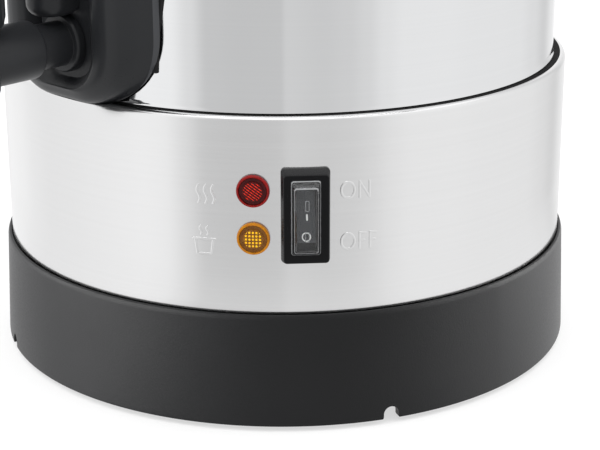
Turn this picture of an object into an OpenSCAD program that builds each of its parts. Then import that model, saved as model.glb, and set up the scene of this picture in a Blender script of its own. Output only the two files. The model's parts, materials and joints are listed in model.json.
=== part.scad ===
// Mulled wine dispenser: a steel tank on a steel skirt and a black base, with a
// front tap, a level gauge, two side handles, a lift-off lid and a switch panel.
// Millimetres, +Z up, tap towards -Y. Each module is drawn about the tank's axis; place() puts the
// origin on the table, in the middle of the whole part's outline.

/* [Body] */
// Outer radius of the tank wall
tank_r = 110; // [109:0.5:111]
// Sheet thickness of the tank
tank_t = 1; // [0.6:0.1:2]
// Underside of the tank floor
floor_z = 111; // [105:0.5:116]
// Top of the tank rim
rim_z = 372.8; // [350:0.1:420]
// Outer radius of the steel skirt
skirt_r = 115; // [114.5:0.5:116]
// Sheet thickness of the skirt
skirt_t = 1; // [0.6:0.1:2]
// Top of the skirt's rolled shoulder
skirt_top = 119.5; // [118.6:0.1:124]
// Thickness of the black seam ring
seam_t = 0.8; // [0.6:0.1:2]
// Outer radius of the base ring at its bottom edge
base_r = 118.5; // [117.5:0.5:124]
// Top of the base ring
base_top = 45.7; // [45:0.1:50]
// Height of the base ring's bottom edge above the table
base_bottom = 2; // [1:0.1:4]

/* [Panel] */
// Angle of the switch from the tap, about the tank's axis
switch_az = 47.6; // [40:0.1:80]
// Height of the switch's middle
switch_z = 83.8; // [70:0.1:95]
// Tilt of the rocker on either side of level
rocker_tilt = 10; // [6:0.5:12]
// Angle of the two lamps from the tap
lamp_az = 38.3; // [30:0.1:70]
// Height of the red lamp
lamp_red_z = 93; // [85:0.1:100]
// Height of the amber lamp
lamp_amber_z = 75.1; // [60:0.1:80]
// Outer radius of a lamp lens
lens_r = 6.1; // [5:0.05:8]

/* [Tap] */
// Height of the tap's shank
tap_z = 140; // [132:0.5:160]
// Outer radius of the shank
shank_r = 8.3; // [7:0.1:10]
// Distance of the tap barrel from the tank's axis
barrel_y = 162; // [150:0.5:180]
// Distance between the lever's pivot and the stem
lever_arm = 9.5; // [8:0.1:11]
// Half width of the tap housing
housing_w = 39.5; // [38:0.5:42]
// Bottom of the tap housing
housing_z0 = 118.7; // [115:0.1:130]
// Top of the tap housing
housing_z1 = 330; // [250:1:340]

/* [Gauge] */
// Distance of the gauge tube from the tank's axis
tube_y = 121; // [119:0.1:126]
// Outer radius of the gauge tube
tube_r = 5; // [4:0.1:6]

/* [Handles and lid] */
// Height of the side handles
handle_z = 306; // [220:1:330]
// Half distance between a handle's two arms
handle_s = 40; // [34:0.5:50]
// Distance of the grip from the tank's axis
grip_x = 148; // [140:0.5:165]
// Radius of the grip
grip_r = 9.5; // [8:0.1:12]

/* [Hidden] */
$fn = 96;
plate_z = floor_z - 4;          // underside of the heater plate
seam_z = skirt_top + seam_t;    // underside of the tank's bead
pivot_w = -0.4;                 // rocker axis, outwards from the skirt
pivot_dz = 0.6;                 // rocker axis above the switch's middle
bezel_w = 2.6;                  // front of the bezel, outwards from the skirt
barrel_z0 = tap_z - 12;         // bottom of the tap barrel
seat_z = tap_z - 6;             // valve seat
barrel_z1 = tap_z + 24;         // top of the tap barrel
bonnet_top = barrel_z1 + 8;
pivot_z = bonnet_top + 7;       // height of the lever's pivot
pivot_y = barrel_y + lever_arm;
floor_r = tank_r + 4.2;         // channel floor of the tap housing
gauge_lo = tap_z + 20;          // height of the lower gauge connection
gauge_hi = housing_z1 - 21;     // height of the upper gauge screw
dome_z = rim_z + 19.5;
gland_end = 121.2;              // rearmost point, from the tank's axis
lever_tip = pivot_y + 55 * cos(20) + 3.3 * sin(20); // foremost point, from the tank's axis
row_y = (lever_tip - gland_end) / 2;

// ---- helpers
function arc(cx, cy, r, a0, a1, n) = [for (i = [0:n]) [cx + r * cos(a0 + (a1 - a0) * i / n), cy + r * sin(a0 + (a1 - a0) * i / n)]];
module place() translate([0, row_y, 0]) children();
module az(a) rotate([0, 0, a]) children();
// a body of revolution about an axis that points outwards at angle a and height z; x of the profile is the radius
module radial(a, z) az(a) translate([0, 0, z]) rotate([90, 0, 0]) children();
module round_rect(w, h, r) {
    square([w - 2 * r, h], center = true);
    square([w, h - 2 * r], center = true);
    for (i = [-1, 1], j = [-1, 1]) translate([i * (w / 2 - r), j * (h / 2 - r)]) circle(r);
}
// tube along a path: rings of n points, ends closed
function unit(v) = v / norm(v);
function tang(p, i) = unit(p[min(i + 1, len(p) - 1)] - p[max(i - 1, 0)]);
function side(t) = unit(cross(t, abs(t[2]) > 0.8 ? [1, 0, 0] : [0, 0, 1]));
module tube(p, r, n = 8) {
    m = len(p);
    pts = [for (i = [0:m - 1]) let (t = tang(p, i), s = side(t), u = cross(t, s)) for (k = [0:n - 1]) p[i] + r * (cos(360 * k / n) * s + sin(360 * k / n) * u)];
    faces = concat([[for (k = [0:n - 1]) k]], [[for (k = [n - 1:-1:0]) (m - 1) * n + k]],
        [for (i = [0:m - 2], k = [0:n - 1]) [i * n + k, (i + 1) * n + k, (i + 1) * n + (k + 1) % n]],
        [for (i = [0:m - 2], k = [0:n - 1]) [i * n + k, (i + 1) * n + (k + 1) % n, i * n + (k + 1) % n]]);
    polyhedron(pts, faces);
}
// rounded path: quadratic bends between the middles of a polyline's legs
function bends(c, k) = concat([c[0]], [for (i = [1:len(c) - 2]) let (a = (c[i - 1] + c[i]) / 2, b = (c[i] + c[i + 1]) / 2)
    for (j = [0:k]) let (t = j / k) (1 - t) * (1 - t) * a + 2 * t * (1 - t) * c[i] + t * t * b], [c[len(c) - 1]]);
function polar(a, r, z) = [r * sin(a), -r * cos(a), z];

// ---- base
module base_ring() color("#17181a") difference() {
    union() {
        rotate_extrude($fn = 180) polygon([[115.3, base_bottom], [base_r - 0.9, base_bottom], [base_r, base_bottom + 0.9],
            [base_r - 1.6, base_top - 1.4], [base_r - 2, base_top - 0.4], [base_r - 2.5, base_top], [skirt_r + 0.35, base_top],
            [skirt_r + 0.35, 43.4], [113.6, 43.4], [113.6, 51], [111.6, 51], [111.6, 40.4], [98, 40.4], [98, 37.4], [113.8, 37.4]]);
        for (a = [45:90:315]) az(a) translate([0, -104, 8]) cylinder(r = 5, h = 30);
    }
    for (a = [45:90:315]) az(a) translate([0, -104, 7]) cylinder(r = 1.5, h = 20);
    for (a = [63.4:90:350]) az(a) translate([0, -105, 0]) {
        translate([-3, -20, 0]) cube([6, 20, 4]);
        translate([0, 0, 4]) rotate([90, 0, 0]) cylinder(r = 3, h = 20, $fn = 40);
    }
    radial(180, 22) translate([0, 0, 105]) cylinder(r = 6.6, h = 20);
}
module bottom_cover() color("#26282a") difference() {
    rotate_extrude($fn = 180) polygon([[4.4, 14], [19, 14], [23, 6], [114.4, 6], [114.4, 8], [24.3, 8], [20.3, 16], [4.4, 16]]);
    for (a = [45:90:315]) az(a) translate([0, -104, 5]) cylinder(r = 1.9, h = 4);
    for (a = [0:90:270]) az(a) translate([0, -96, 5]) cylinder(r = 3.05, h = 4);
    for (a = [22.5:45:337.5]) az(a) for (r = [40, 62]) translate([-2, -r - 16, 5]) cube([4, 16, 4]);
}
module feet() color("#101112") for (a = [0:90:270]) az(a) translate([0, -96, 0])
    rotate_extrude() polygon([[0, 0], [8, 0], [9, 1], [9, 6], [3, 6], [3, 8], [4.6, 8], [4.6, 9.4], [3.6, 10.4], [0, 10.4]]);
module cover_screws() color("#b9bcc0") for (a = [45:90:315]) az(a) translate([0, -104, 0]) difference() {
    union() {
        translate([0, 0, 3.8]) cylinder(r = 3.2, h = 2.2);
        translate([0, 0, 5.5]) cylinder(r = 1.45, h = 18);
    }
    for (b = [0, 90]) rotate(b) translate([-2, -0.4, 3]) cube([4, 0.8, 1.8]);
}
module skirt() color("#c9ccd0") difference() {
    rotate_extrude($fn = 180) polygon(concat([[skirt_r - skirt_t, 43.4], [skirt_r, 43.4]],
        arc(skirt_r - 3.5, skirt_top - 3.5, 3.5, 0, 90, 8), [[110.4, skirt_top], [110.4, skirt_top - 2.8], [111.4, skirt_top - 2.8]],
        arc(skirt_r - 3.5, skirt_top - 3.5, 2.5, 90, 0, 8)));
    az(switch_az) translate([-6.5, -125, switch_z - 14.4]) cube([13, 25, 28.8]);
    for (z = [lamp_red_z, lamp_amber_z]) radial(lamp_az, z) translate([0, 0, 100]) cylinder(r = 5.1, h = 25);
}
module skirt_seal() color("#0b0b0c") rotate_extrude($fn = 180) translate([110.1, skirt_top]) square([1.2, seam_t]);
module cord_gland() color("#141517") radial(180, 22) difference() {
    union() {
        rotate_extrude() polygon([[0, 96], [6.4, 96], [6.4, 118.3], [9.5, 118.3], [9.5, gland_end - 1], [8.5, gland_end], [0, gland_end]]);
    }
    translate([0, 0, 90]) cylinder(r = 3.6, h = 40);
}
module gland_nut() color("#1b1c1e") radial(180, 22) difference() {
    translate([0, 0, 107.5]) cylinder(r = 9.5, h = 5, $fn = 6);
    translate([0, 0, 100]) cylinder(r = 6.45, h = 20);
}

// ---- vessel
module tank() color("#d8dadd") difference() {
    rotate_extrude($fn = 180) polygon(concat([[0, floor_z]], arc(tank_r - 8, floor_z + 8, 8, -90, 0, 8),
        [[tank_r, seam_z], [tank_r + 1.4, seam_z], [tank_r + 1.4, seam_z + 0.6], [tank_r + 0.8, seam_z + 1.8], [tank_r + 0.35, seam_z + 3.4],
        [tank_r + 0.1, seam_z + 5.2], [tank_r, seam_z + 7], [tank_r, rim_z - 6.3], [tank_r + 1.2, rim_z - 5.2], [tank_r + 2.6, rim_z - 4.6],
        [tank_r + 3.4, rim_z - 3.4], [tank_r + 3.4, rim_z - 1.6], [tank_r + 2.6, rim_z - 0.5], [tank_r + 1.2, rim_z], [tank_r - tank_t, rim_z]],
        arc(tank_r - 8, floor_z + 8, 8 - tank_t, 0, -90, 8), [[0, floor_z + tank_t]]));
    radial(0, tap_z) translate([0, 0, 90]) cylinder(r = shank_r + 0.1, h = 30);
    radial(0, gauge_lo) translate([0, 0, 90]) cylinder(r = 4.1, h = 30);
    radial(0, gauge_hi) translate([0, 0, 90]) cylinder(r = 2.2, h = 30);
    for (m = [-1, 1], s = [-1, 1]) translate([0, s * handle_s, handle_z]) rotate([0, m * 90, 0]) translate([0, 0, 80]) cylinder(r = 2.7, h = 40);
}
module centre_stud() color("#b9bcc0") rotate_extrude() polygon([[0, 5], [3.4, 5], [4, 5.6], [4, floor_z - 3], [5.6, floor_z - 2], [5.6, floor_z], [0, floor_z]]);
module centre_washer() color("#b9bcc0") translate([0, 0, 12.6]) difference() {
    cylinder(r = 9, h = 1.4);
    translate([0, 0, -1]) cylinder(r = 4.3, h = 4);
}
module centre_nut() color("#a9acb0") translate([0, 0, 6.2]) difference() {
    cylinder(r = 7.5, h = 6.4, $fn = 6);
    translate([0, 0, -1]) cylinder(r = 4.05, h = 9);
}

// ---- heat
module heater_plate() color("#a4a7aa") translate([0, 0, plate_z]) difference() {
    cylinder(r = 92, h = 4, $fn = 180);
    translate([0, 0, -1]) cylinder(r = 6.2, h = 6);
}
module element(R, r, a0, sweep, drop) {
    z = plate_z - r - 0.05;
    rotate([0, 0, a0]) translate([0, 0, z]) rotate_extrude(angle = sweep, $fn = 120) translate([R, 0]) circle(r, $fn = 32);
    for (a = [a0, a0 + sweep]) rotate([0, 0, a]) translate([R, 0, z - drop]) {
        cylinder(r = r + 0.3, h = drop + r - 0.4, $fn = 32);
        translate([0, 0, -9]) cylinder(r = 1.5, h = 10, $fn = 24);
    }
}
module heating_element() color("#6a6c6f") element(70, 4, 10, 320, 14);
module keep_warm_element() color("#6a6c6f") element(42, 3, 190, 320, 12);
module thermostat(y) translate([0, y, plate_z - 9]) {
    cylinder(r = 8, h = 9);
    translate([-12, -4, 7.5]) cube([24, 8, 1.5]);
    for (s = [-1, 1]) translate([s * 4 - 0.4, -3.15, -9]) cube([0.8, 6.3, 10]);
}
module heating_thermostat() color("#3a3a3c") thermostat(22);
module keep_warm_thermostat() color("#3a3a3c") thermostat(-22);
module thermal_fuse() color("#e4e2da") translate([-56, 0, plate_z - 3.05]) rotate([90, 0, 0]) {
    translate([0, 0, -8]) cylinder(r = 3, h = 16);
    translate([0, 0, -14]) cylinder(r = 0.7, h = 28);
}
module terminal_block() color("#e4e2da") translate([0, 60, 8]) difference() {
    translate([-20, -9, 0]) cube([40, 18, 14]);
    for (s = [-12, 0, 12]) translate([s, 0, 0]) {
        translate([0, 20, 6]) rotate([90, 0, 0]) cylinder(r = 2, h = 40);
        translate([0, 0, 6]) cylinder(r = 2.1, h = 10);
    }
}
module terminal_screws() color("#c8b26a") for (s = [-12, 0, 12]) translate([s, 60, 16.2]) difference() {
    cylinder(r = 2, h = 4.8);
    translate([-3, -0.4, 4]) cube([6, 0.8, 2]);
}
module earth_tag() color("#c8b26a") difference() {
    translate([0, 0, 16]) {
        cylinder(r = 8, h = 1);
        translate([-3, 0, 0]) cube([6, 20, 1]);
    }
    translate([0, 0, 15]) cylinder(r = 4.3, h = 3);
}
module wiring_loom() color("#8a3b2c") {
    tube(bends([[-12, 49.5, 14], [-20, 36, 24], [26, 26, 36], [44, -20, 60], polar(switch_az, 66, 86), polar(switch_az, 81.5, switch_z + 8)], 5), 1.2);
    tube(bends([polar(switch_az, 81.5, switch_z - 8), polar(switch_az - 4, 60, 66), [30, 20, 62], [12, 24, 72], [4, 22, plate_z - 18.6]], 5), 1.2);
    tube(bends([polar(lamp_az, 86.5, lamp_red_z), polar(lamp_az - 6, 76, 84), polar(lamp_az - 6, 76, 82), polar(lamp_az, 86.5, lamp_amber_z)], 4), 1);
    tube(bends([[12, 49.5, 14], [24, 36, 30], [-10, 40, 60], [-4, 26, 74], [-4, 22, plate_z - 18.6]], 5), 1.2);
    tube(bends([[0, 49.5, 14], [0, 38, 22], [0, 26, 21], [0, 18, 18.3]], 4), 1.1);
}

// ---- switch and lamps
module switch_housing() color("#121315") az(switch_az) translate([0, -skirt_r, switch_z]) rotate([90, 0, 0]) difference() {
    union() {
        difference() {
            hull() {
                translate([0, 0, -0.6]) linear_extrude(1.2) round_rect(17.7, 35.6, 1.6);
                translate([0.2, -0.9, bezel_w - 0.2]) linear_extrude(0.2) round_rect(16.5, 33.3, 1.3);
            }
            translate([0, -60, -skirt_r]) rotate([-90, 0, 0]) cylinder(r = skirt_r + 0.03, h = 120, $fn = 180);
        }
        translate([-6.3, -14.2, -24]) cube([12.6, 28.4, 25]);
    }
    translate([-4, -12.6, -6]) cube([8, 25.2, 12]);
    translate([-5.5, pivot_dz, pivot_w]) rotate([0, 90, 0]) cylinder(r = 1.3, h = 11, $fn = 40);
}
module switch_terminals() color("#c8b26a") az(switch_az) translate([0, -skirt_r, switch_z]) rotate([90, 0, 0])
    for (s = [-8, 8]) translate([-3.15, s - 0.4, -33]) cube([6.3, 0.8, 9]);
module rocker() color("#2a2b2e") az(switch_az) translate([0, -skirt_r - pivot_w, switch_z + pivot_dz]) rotate([90, 0, 0]) rotate([-rocker_tilt, 0, 0]) {
    translate([-3.5, 0, 0]) rotate([90, 0, 90]) linear_extrude(7)
        polygon([[-10.2, 3.7], [2, 1.7], [10.2, 3.1], [10.2, 1], [5.5, -2.5], [-5.5, -2.5], [-10.2, 1]]);
    translate([-5.3, 0, 0]) rotate([0, 90, 0]) cylinder(r = 1.25, h = 10.6, $fn = 40);
}
module switch_boot() color("#dfe6ea", 0.35) az(switch_az) translate([0, -skirt_r - bezel_w, switch_z - 0.2]) rotate([90, 0, 0]) difference() {
    hull() {
        linear_extrude(0.5) round_rect(10.6, 27.9, 1);
        translate([0, -0.4, 3.15]) linear_extrude(0.1) round_rect(8, 23.2, 0.8);
    }
    hull() {
        translate([0, 0, -0.5]) linear_extrude(0.9) round_rect(9.6, 26.9, 0.7);
        translate([0, -0.4, 2.67]) linear_extrude(0.1) round_rect(7.2, 22.4, 0.6);
    }
}
module lens(z) {
    difference() {
        radial(lamp_az, z) translate([0, 0, skirt_r]) rotate_extrude() polygon([[0, -0.6], [lens_r, -0.6], [lens_r, 1], [lens_r - 0.6, 1.7],
            [lens_r - 1.5, 1.9], [lens_r - 1.9, 1.5], [3.7, 1.5], [3.5, 2], [0, 2.3]]);
        cylinder(r = skirt_r + 0.03, h = 200, $fn = 180);
    }
    radial(lamp_az, z) translate([0, 0, skirt_r - 0.5]) cylinder(r = 4.5, h = 1.2);
}
module lamp_lens_red() color("#c21d14") lens(lamp_red_z);
module lamp_lens_amber() color("#f0a010") lens(lamp_amber_z);
module lamp_bodies() color("#e9e7e0") for (z = [lamp_red_z, lamp_amber_z]) radial(lamp_az, z) {
    translate([0, 0, skirt_r - 23]) cylinder(r = 4.8, h = 22.5);
    for (s = [-2.4, 2.4]) translate([s - 0.4, -1.4, skirt_r - 29]) cube([0.8, 2.8, 7]);
}
module lamp_nuts() color("#26282a") for (z = [lamp_red_z, lamp_amber_z]) radial(lamp_az, z) translate([0, 0, skirt_r - 4.5]) difference() {
    cylinder(r = 7.2, h = 3.2, $fn = 6);
    translate([0, 0, -1]) cylinder(r = 4.9, h = 6);
}

// ---- tap
// outer slices of the housing: distance from the axis, inset at the sides, inset at the ends
crown = [[60, 0, 0], [107, 0, 0], [110, 2.1, 0], [111.9, 3.5, 0], [113.3, 4.7, 0], [114.6, 6, 0], [115.4, 6.9, 0.35],
    [116.4, 8.1, 0.9], [117.3, 9.5, 1.8], [118, 10.8, 2.9], [118.6, 12.2, 4], [119.2, 15, 5]];
// slices of its channel: distance from the axis, half width, inset at the ends
channel = [[112.4, 14.2, 9], [113.4, 14.6, 8.6], [115, 15.5, 7.9], [116.6, 16.8, 7], [117.9, 18.3, 6.1], [118.7, 19.8, 5.4], [119.3, 22, 4.9], [126, 22, 4.9]];
// rounded rectangle at distance y from the axis: half width w, ends inset from the housing's, corner radius r
function ring(y, w, inset, r, n = 7) = [for (q = [0:3], i = [0:n]) let (a = 90 * (q + i / n), sx = q == 0 || q == 3 ? 1 : -1)
    [sx * (w - r) + r * cos(a), -y, (q < 2 ? housing_z1 - inset - r : housing_z0 + inset + r) + r * sin(a)]];
// closed solid through rings with equal numbers of points
module loft(rings) {
    m = len(rings);
    n = len(rings[0]);
    polyhedron([for (r = rings, p = r) p], concat([[for (k = [0:n - 1]) k]], [[for (k = [n - 1:-1:0]) (m - 1) * n + k]],
        [for (i = [0:m - 2], k = [0:n - 1]) [i * n + k, (i + 1) * n + k, (i + 1) * n + (k + 1) % n]],
        [for (i = [0:m - 2], k = [0:n - 1]) [i * n + k, (i + 1) * n + (k + 1) % n, i * n + (k + 1) % n]]));
}
module tap_housing() color("#1a1b1d") difference() {
    loft([for (c = crown) ring(c[0], housing_w - c[1], c[2], 27 - (c[1] + c[2]) / 2)]);
    cylinder(r = tank_r + 1.2, h = 400, $fn = 180);
    rotate_extrude($fn = 180) polygon(concat([[100, 60], [skirt_r + 0.4, 60]], arc(skirt_r - 3.5, skirt_top - 3.5, 3.9, 0, 84, 8),
        [[tank_r + 1.8, skirt_top + 0.5], [tank_r + 1.8, seam_z + 7.7], [100, seam_z + 7.7]]));
    difference() {
        loft([for (c = channel) ring(c[0], c[1], c[2], 11 + (c[1] - 14.2) * 0.75)]);
        cylinder(r = floor_r, h = 400, $fn = 180);
    }
    radial(0, tap_z) translate([0, 0, 90]) cylinder(r = shank_r + 0.2, h = 40);
    radial(0, gauge_lo) translate([0, 0, 90]) cylinder(r = 4.1, h = 40);
    radial(0, gauge_hi) translate([0, 0, 90]) cylinder(r = 2.2, h = 40);
}
module housing_gasket() color("#0d0d0e") difference() {
    intersection() {
        translate([0, 0, 100]) cylinder(r = tank_r + 1.17, h = 300, $fn = 180);
        translate([0, -60, 0]) rotate([90, 0, 0]) linear_extrude(100) polygon([[-37.6, 132.7], [37.6, 132.7], [37.9, 138], [38.6, 147], [40.5, 159], [41.6, 176], [41.6, housing_z1 - 40],
            [40.2, housing_z1 - 24], [36.6, housing_z1 - 12], [-36.6, housing_z1 - 12], [-40.2, housing_z1 - 24], [-41.6, housing_z1 - 40], [-41.6, 176], [-40.5, 159], [-38.6, 147], [-37.9, 138]]);
    }
    cylinder(r = tank_r + 0.03, h = 500, $fn = 180);
    radial(0, tap_z) translate([0, 0, 90]) cylinder(r = shank_r + 0.1, h = 40);
    radial(0, gauge_lo) translate([0, 0, 90]) cylinder(r = 4.1, h = 40);
    radial(0, gauge_hi) translate([0, 0, 90]) cylinder(r = 2.2, h = 40);
}
module tap_shank() color("#1c1d1f") radial(0, tap_z) difference() {
    rotate_extrude() polygon([[0, 92], [shank_r, 92], [shank_r, floor_r + 0.05], [10.8, floor_r + 0.05], [10.8, floor_r + 2.6], [10.2, floor_r + 3.4], [shank_r, floor_r + 3.4], [shank_r, 145.5], [0, 145.5]]);
    translate([0, 0, 80]) cylinder(r = 5.2, h = 80);
}
module tap_inner_seal() color("#c9c6bd") difference() {
    radial(0, tap_z) translate([0, 0, 105]) difference() {
        cylinder(r = 12.2, h = 2.2 + 1.6);
        translate([0, 0, -1]) cylinder(r = shank_r + 0.05, h = 8);
    }
    difference() {
        cylinder(r = 140, h = 400, $fn = 180);
        translate([0, 0, -1]) cylinder(r = tank_r - tank_t - 0.03, h = 402, $fn = 180);
    }
}
module tap_nut() color("#202123") radial(0, tap_z) translate([0, 0, 97]) difference() {
    cylinder(r = 14.5, h = 8, $fn = 6);
    translate([0, 0, -1]) cylinder(r = shank_r + 0.03, h = 10);
}
module tap_body() color("#1a1b1d") difference() {
    union() {
        translate([0, -barrel_y, 0]) rotate_extrude() polygon([[0, tap_z - 34], [7.8, tap_z - 34], [8.6, tap_z - 33], [9, barrel_z0 - 2], [12.5, barrel_z0], [14, barrel_z0 + 2], [14, barrel_z1], [0, barrel_z1]]);
        radial(0, tap_z) translate([0, 0, 131]) cylinder(r = 10.6, h = barrel_y - 131);
    }
    translate([0, -barrel_y, tap_z - 40]) cylinder(r = 6, h = 40);
    translate([0, -barrel_y, seat_z]) cylinder(r = 9.5, h = 40);
    radial(0, tap_z) {
        translate([0, 0, 130]) cylinder(r = shank_r + 0.03, h = 15.5);
        translate([0, 0, 130]) cylinder(r = 5.2, h = barrel_y - 130);
    }
}
module tap_seat() color("#d8d5cc") translate([0, -barrel_y, 0]) rotate_extrude() polygon([[0, seat_z], [8, seat_z], [8.3, seat_z + 0.5], [8.3, seat_z + 4], [6.5, seat_z + 6], [2.5, seat_z + 6], [2.5, seat_z + 2.5], [0, seat_z + 2.5]]);
module tap_stem() color("#b9bcc0") translate([0, -barrel_y, 0]) difference() {
    rotate_extrude() polygon([[0, seat_z + 2.5], [2.5, seat_z + 2.5], [2.5, seat_z + 6], [5, seat_z + 6], [5, seat_z + 7.2], [2.5, seat_z + 7.2], [2.5, pivot_z + 4], [1.9, pivot_z + 4.6], [0, pivot_z + 4.6]]);
    translate([-10, 0, pivot_z]) rotate([0, 90, 0]) cylinder(r = 1.5, h = 20, $fn = 40);
}
module tap_stem_pin() color("#8f9296") translate([-5, -barrel_y, pivot_z]) rotate([0, 90, 0]) cylinder(r = 1.5, h = 10, $fn = 40);
module tap_spring() color("#b9bcc0") translate([0, -barrel_y, 0]) tube([for (i = [0:70]) let (a = 360 * 5 * i / 70, z0 = seat_z + 7.9, z1 = barrel_z1 - 0.7) [6 * cos(a), 6 * sin(a), z0 + (z1 - z0) * i / 70]], 0.6, 6);
module tap_bonnet() color("#141517") difference() {
    union() {
        translate([0, -barrel_y, barrel_z1 - 11]) difference() {
            union() {
                rotate_extrude() polygon([[0, 0], [15.7, 0], [16.5, 0.8], [16.5, 17.5], [15, 19], [0, 19]]);
                for (a = [0:20:340]) rotate(a) translate([16.2, 0, 2]) cylinder(r = 1, h = 13, $fn = 20);
            }
            translate([0, 0, -1]) cylinder(r = 14.1, h = 12);
            cylinder(r = 2.8, h = 30);
        }
        for (s = [-1, 1]) translate([s * 6.8 - 1.5, -pivot_y, 0]) {
            translate([0, -4.5, bonnet_top - 2]) cube([3, 9, pivot_z - bonnet_top + 2]);
            translate([0, 0, pivot_z]) rotate([0, 90, 0]) cylinder(r = 4.5, h = 3);
        }
    }
    translate([-10, -pivot_y, pivot_z]) rotate([0, 90, 0]) cylinder(r = 1.5, h = 20, $fn = 40);
}
module tap_lever() color("#17181a") translate([0, -pivot_y, pivot_z]) difference() {
    union() {
        translate([-5, 0, 0]) rotate([0, 90, 0]) cylinder(r = 4.4, h = 10);
        for (s = [-1, 1]) translate([s * 4 - 1, 0, -4]) cube([2, 15, 8]);
        rotate([-20, 0, 0]) translate([0, 0, -3.3]) linear_extrude(6.6) {
            polygon([[-4.9, 1], [4.9, 1], [4.9, -9], [9, -15], [9, -46], [-9, -46], [-9, -15], [-4.9, -9]]);
            translate([0, -46]) circle(9);
        }
    }
    translate([-10, 0, 0]) rotate([0, 90, 0]) cylinder(r = 1.55, h = 20, $fn = 40);
    translate([-6, 7.4, -2.1]) cube([12, 5, 4]);
}
module tap_pivot_pin() color("#8f9296") translate([-8.8, -pivot_y, pivot_z]) rotate([0, 90, 0]) cylinder(r = 1.5, h = 17.6, $fn = 40);

// ---- level gauge
// block with a round front; edge rounds the end away from the tube
module gauge_block(h, edge) {
    rotate_extrude() polygon(concat([[0, 0]], arc(8.5 - edge, edge, edge, -90, 0, 6), [[8.5, h], [0, h]]));
    translate([-8.5, 0, edge]) cube([17, tube_y - floor_r + 2, h - edge]);
}
module gauge_lower_cap() color("#1c1d1f") difference() {
    union() {
        difference() {
            translate([0, -tube_y, gauge_lo - 9]) gauge_block(23, 4.5);
            cylinder(r = floor_r + 0.05, h = 400, $fn = 180);
        }
        radial(0, gauge_lo) translate([0, 0, 96]) cylinder(r = 4, h = 22);
    }
    translate([0, -tube_y, gauge_lo]) cylinder(r = 2.4, h = 10);
    translate([0, -tube_y, gauge_lo + 4]) cylinder(r = tube_r + 0.05, h = 20);
    translate([0, -tube_y, gauge_lo + 10]) cylinder(r = 6.6, h = 20);
    radial(0, gauge_lo) translate([0, 0, 90]) cylinder(r = 2.4, h = tube_y - 90);
}
module gauge_upper_cap() color("#1c1d1f") difference() {
    translate([0, -tube_y, gauge_hi + 10]) mirror([0, 0, 1]) gauge_block(22, 2);
    cylinder(r = floor_r + 0.05, h = 400, $fn = 180);
    translate([0, -tube_y, gauge_hi - 20]) cylinder(r = tube_r + 0.05, h = 16);
    translate([0, -tube_y, gauge_hi - 20]) cylinder(r = 6.6, h = 12);
    radial(0, gauge_hi) translate([0, 0, 90]) cylinder(r = 2.05, h = 36);
}
module gauge_tube() color("#dfe9ee", 0.4) translate([0, -tube_y, gauge_lo + 4]) difference() {
    cylinder(r = tube_r, h = gauge_hi - gauge_lo - 8.2);
    translate([0, 0, -1]) cylinder(r = tube_r - 1.4, h = 200);
}
module gauge_seals() color("#3a3a3c") for (z = [gauge_lo + 10, gauge_hi - 11.8]) translate([0, -tube_y, z]) difference() {
    cylinder(r = 6.55, h = 3.8);
    translate([0, 0, -1]) cylinder(r = tube_r + 0.03, h = 6);
}
module gauge_nut() color("#b9bcc0") radial(0, gauge_lo) translate([0, 0, 101]) difference() {
    cylinder(r = 7, h = 5, $fn = 6);
    translate([0, 0, -1]) cylinder(r = 4.03, h = 8);
}
module gauge_screw() color("#b9bcc0") radial(0, gauge_hi) {
    translate([0, 0, 103.6]) cylinder(r = 4, h = 2.8);
    translate([0, 0, 106]) cylinder(r = 2, h = 19.5);
}
module gauge_inner_seals() color("#c9c6bd") difference() {
    union() {
        radial(0, gauge_lo) translate([0, 0, 106]) difference() {
            cylinder(r = 7, h = 4);
            translate([0, 0, -1]) cylinder(r = 4.03, h = 8);
        }
        radial(0, gauge_hi) translate([0, 0, 106.4]) difference() {
            cylinder(r = 4.6, h = 4);
            translate([0, 0, -1]) cylinder(r = 2.05, h = 8);
        }
    }
    difference() {
        cylinder(r = 140, h = 400, $fn = 180);
        translate([0, 0, -1]) cylinder(r = tank_r - tank_t - 0.03, h = 402, $fn = 180);
    }
}

// ---- handles
arm_r = 8.5;
bend_r = 13;
module handle() translate([0, 0, handle_z]) difference() {
    union() {
        for (s = [-1, 1]) {
            translate([80, s * handle_s, 0]) rotate([0, 90, 0]) cylinder(r = arm_r, h = grip_x - bend_r - 80);
            translate([80, s * handle_s, 0]) rotate([0, 90, 0]) cylinder(r = 12, h = 28);
            translate([grip_x - bend_r, s * (handle_s - bend_r), 0]) rotate([0, 0, s > 0 ? 0 : -90])
                rotate_extrude(angle = 90) translate([bend_r, 0]) circle(arm_r, $fn = 48);
        }
        translate([grip_x, bend_r - handle_s, 0]) rotate([-90, 0, 0]) cylinder(r = arm_r, h = 2 * (handle_s - bend_r));
        translate([grip_x, bend_r - handle_s + 4, 0]) rotate([-90, 0, 0]) cylinder(r = grip_r, h = 2 * (handle_s - bend_r) - 8);
    }
    translate([0, 0, -30]) cylinder(r = tank_r + 0.05, h = 60, $fn = 180);
    for (s = [-1, 1]) translate([90, s * handle_s, 0]) rotate([0, 90, 0]) cylinder(r = 2.55, h = 36);
}
module handle_right() color("#17181a") handle();
module handle_left() color("#17181a") mirror([1, 0, 0]) handle();
module handle_screws() color("#b9bcc0") for (m = [-1, 1], s = [-1, 1]) translate([0, s * handle_s, handle_z]) rotate([0, m * 90, 0]) {
    translate([0, 0, 92]) cylinder(r = 4.6, h = 3);
    translate([0, 0, 94]) cylinder(r = 2.5, h = 31);
}
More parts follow.
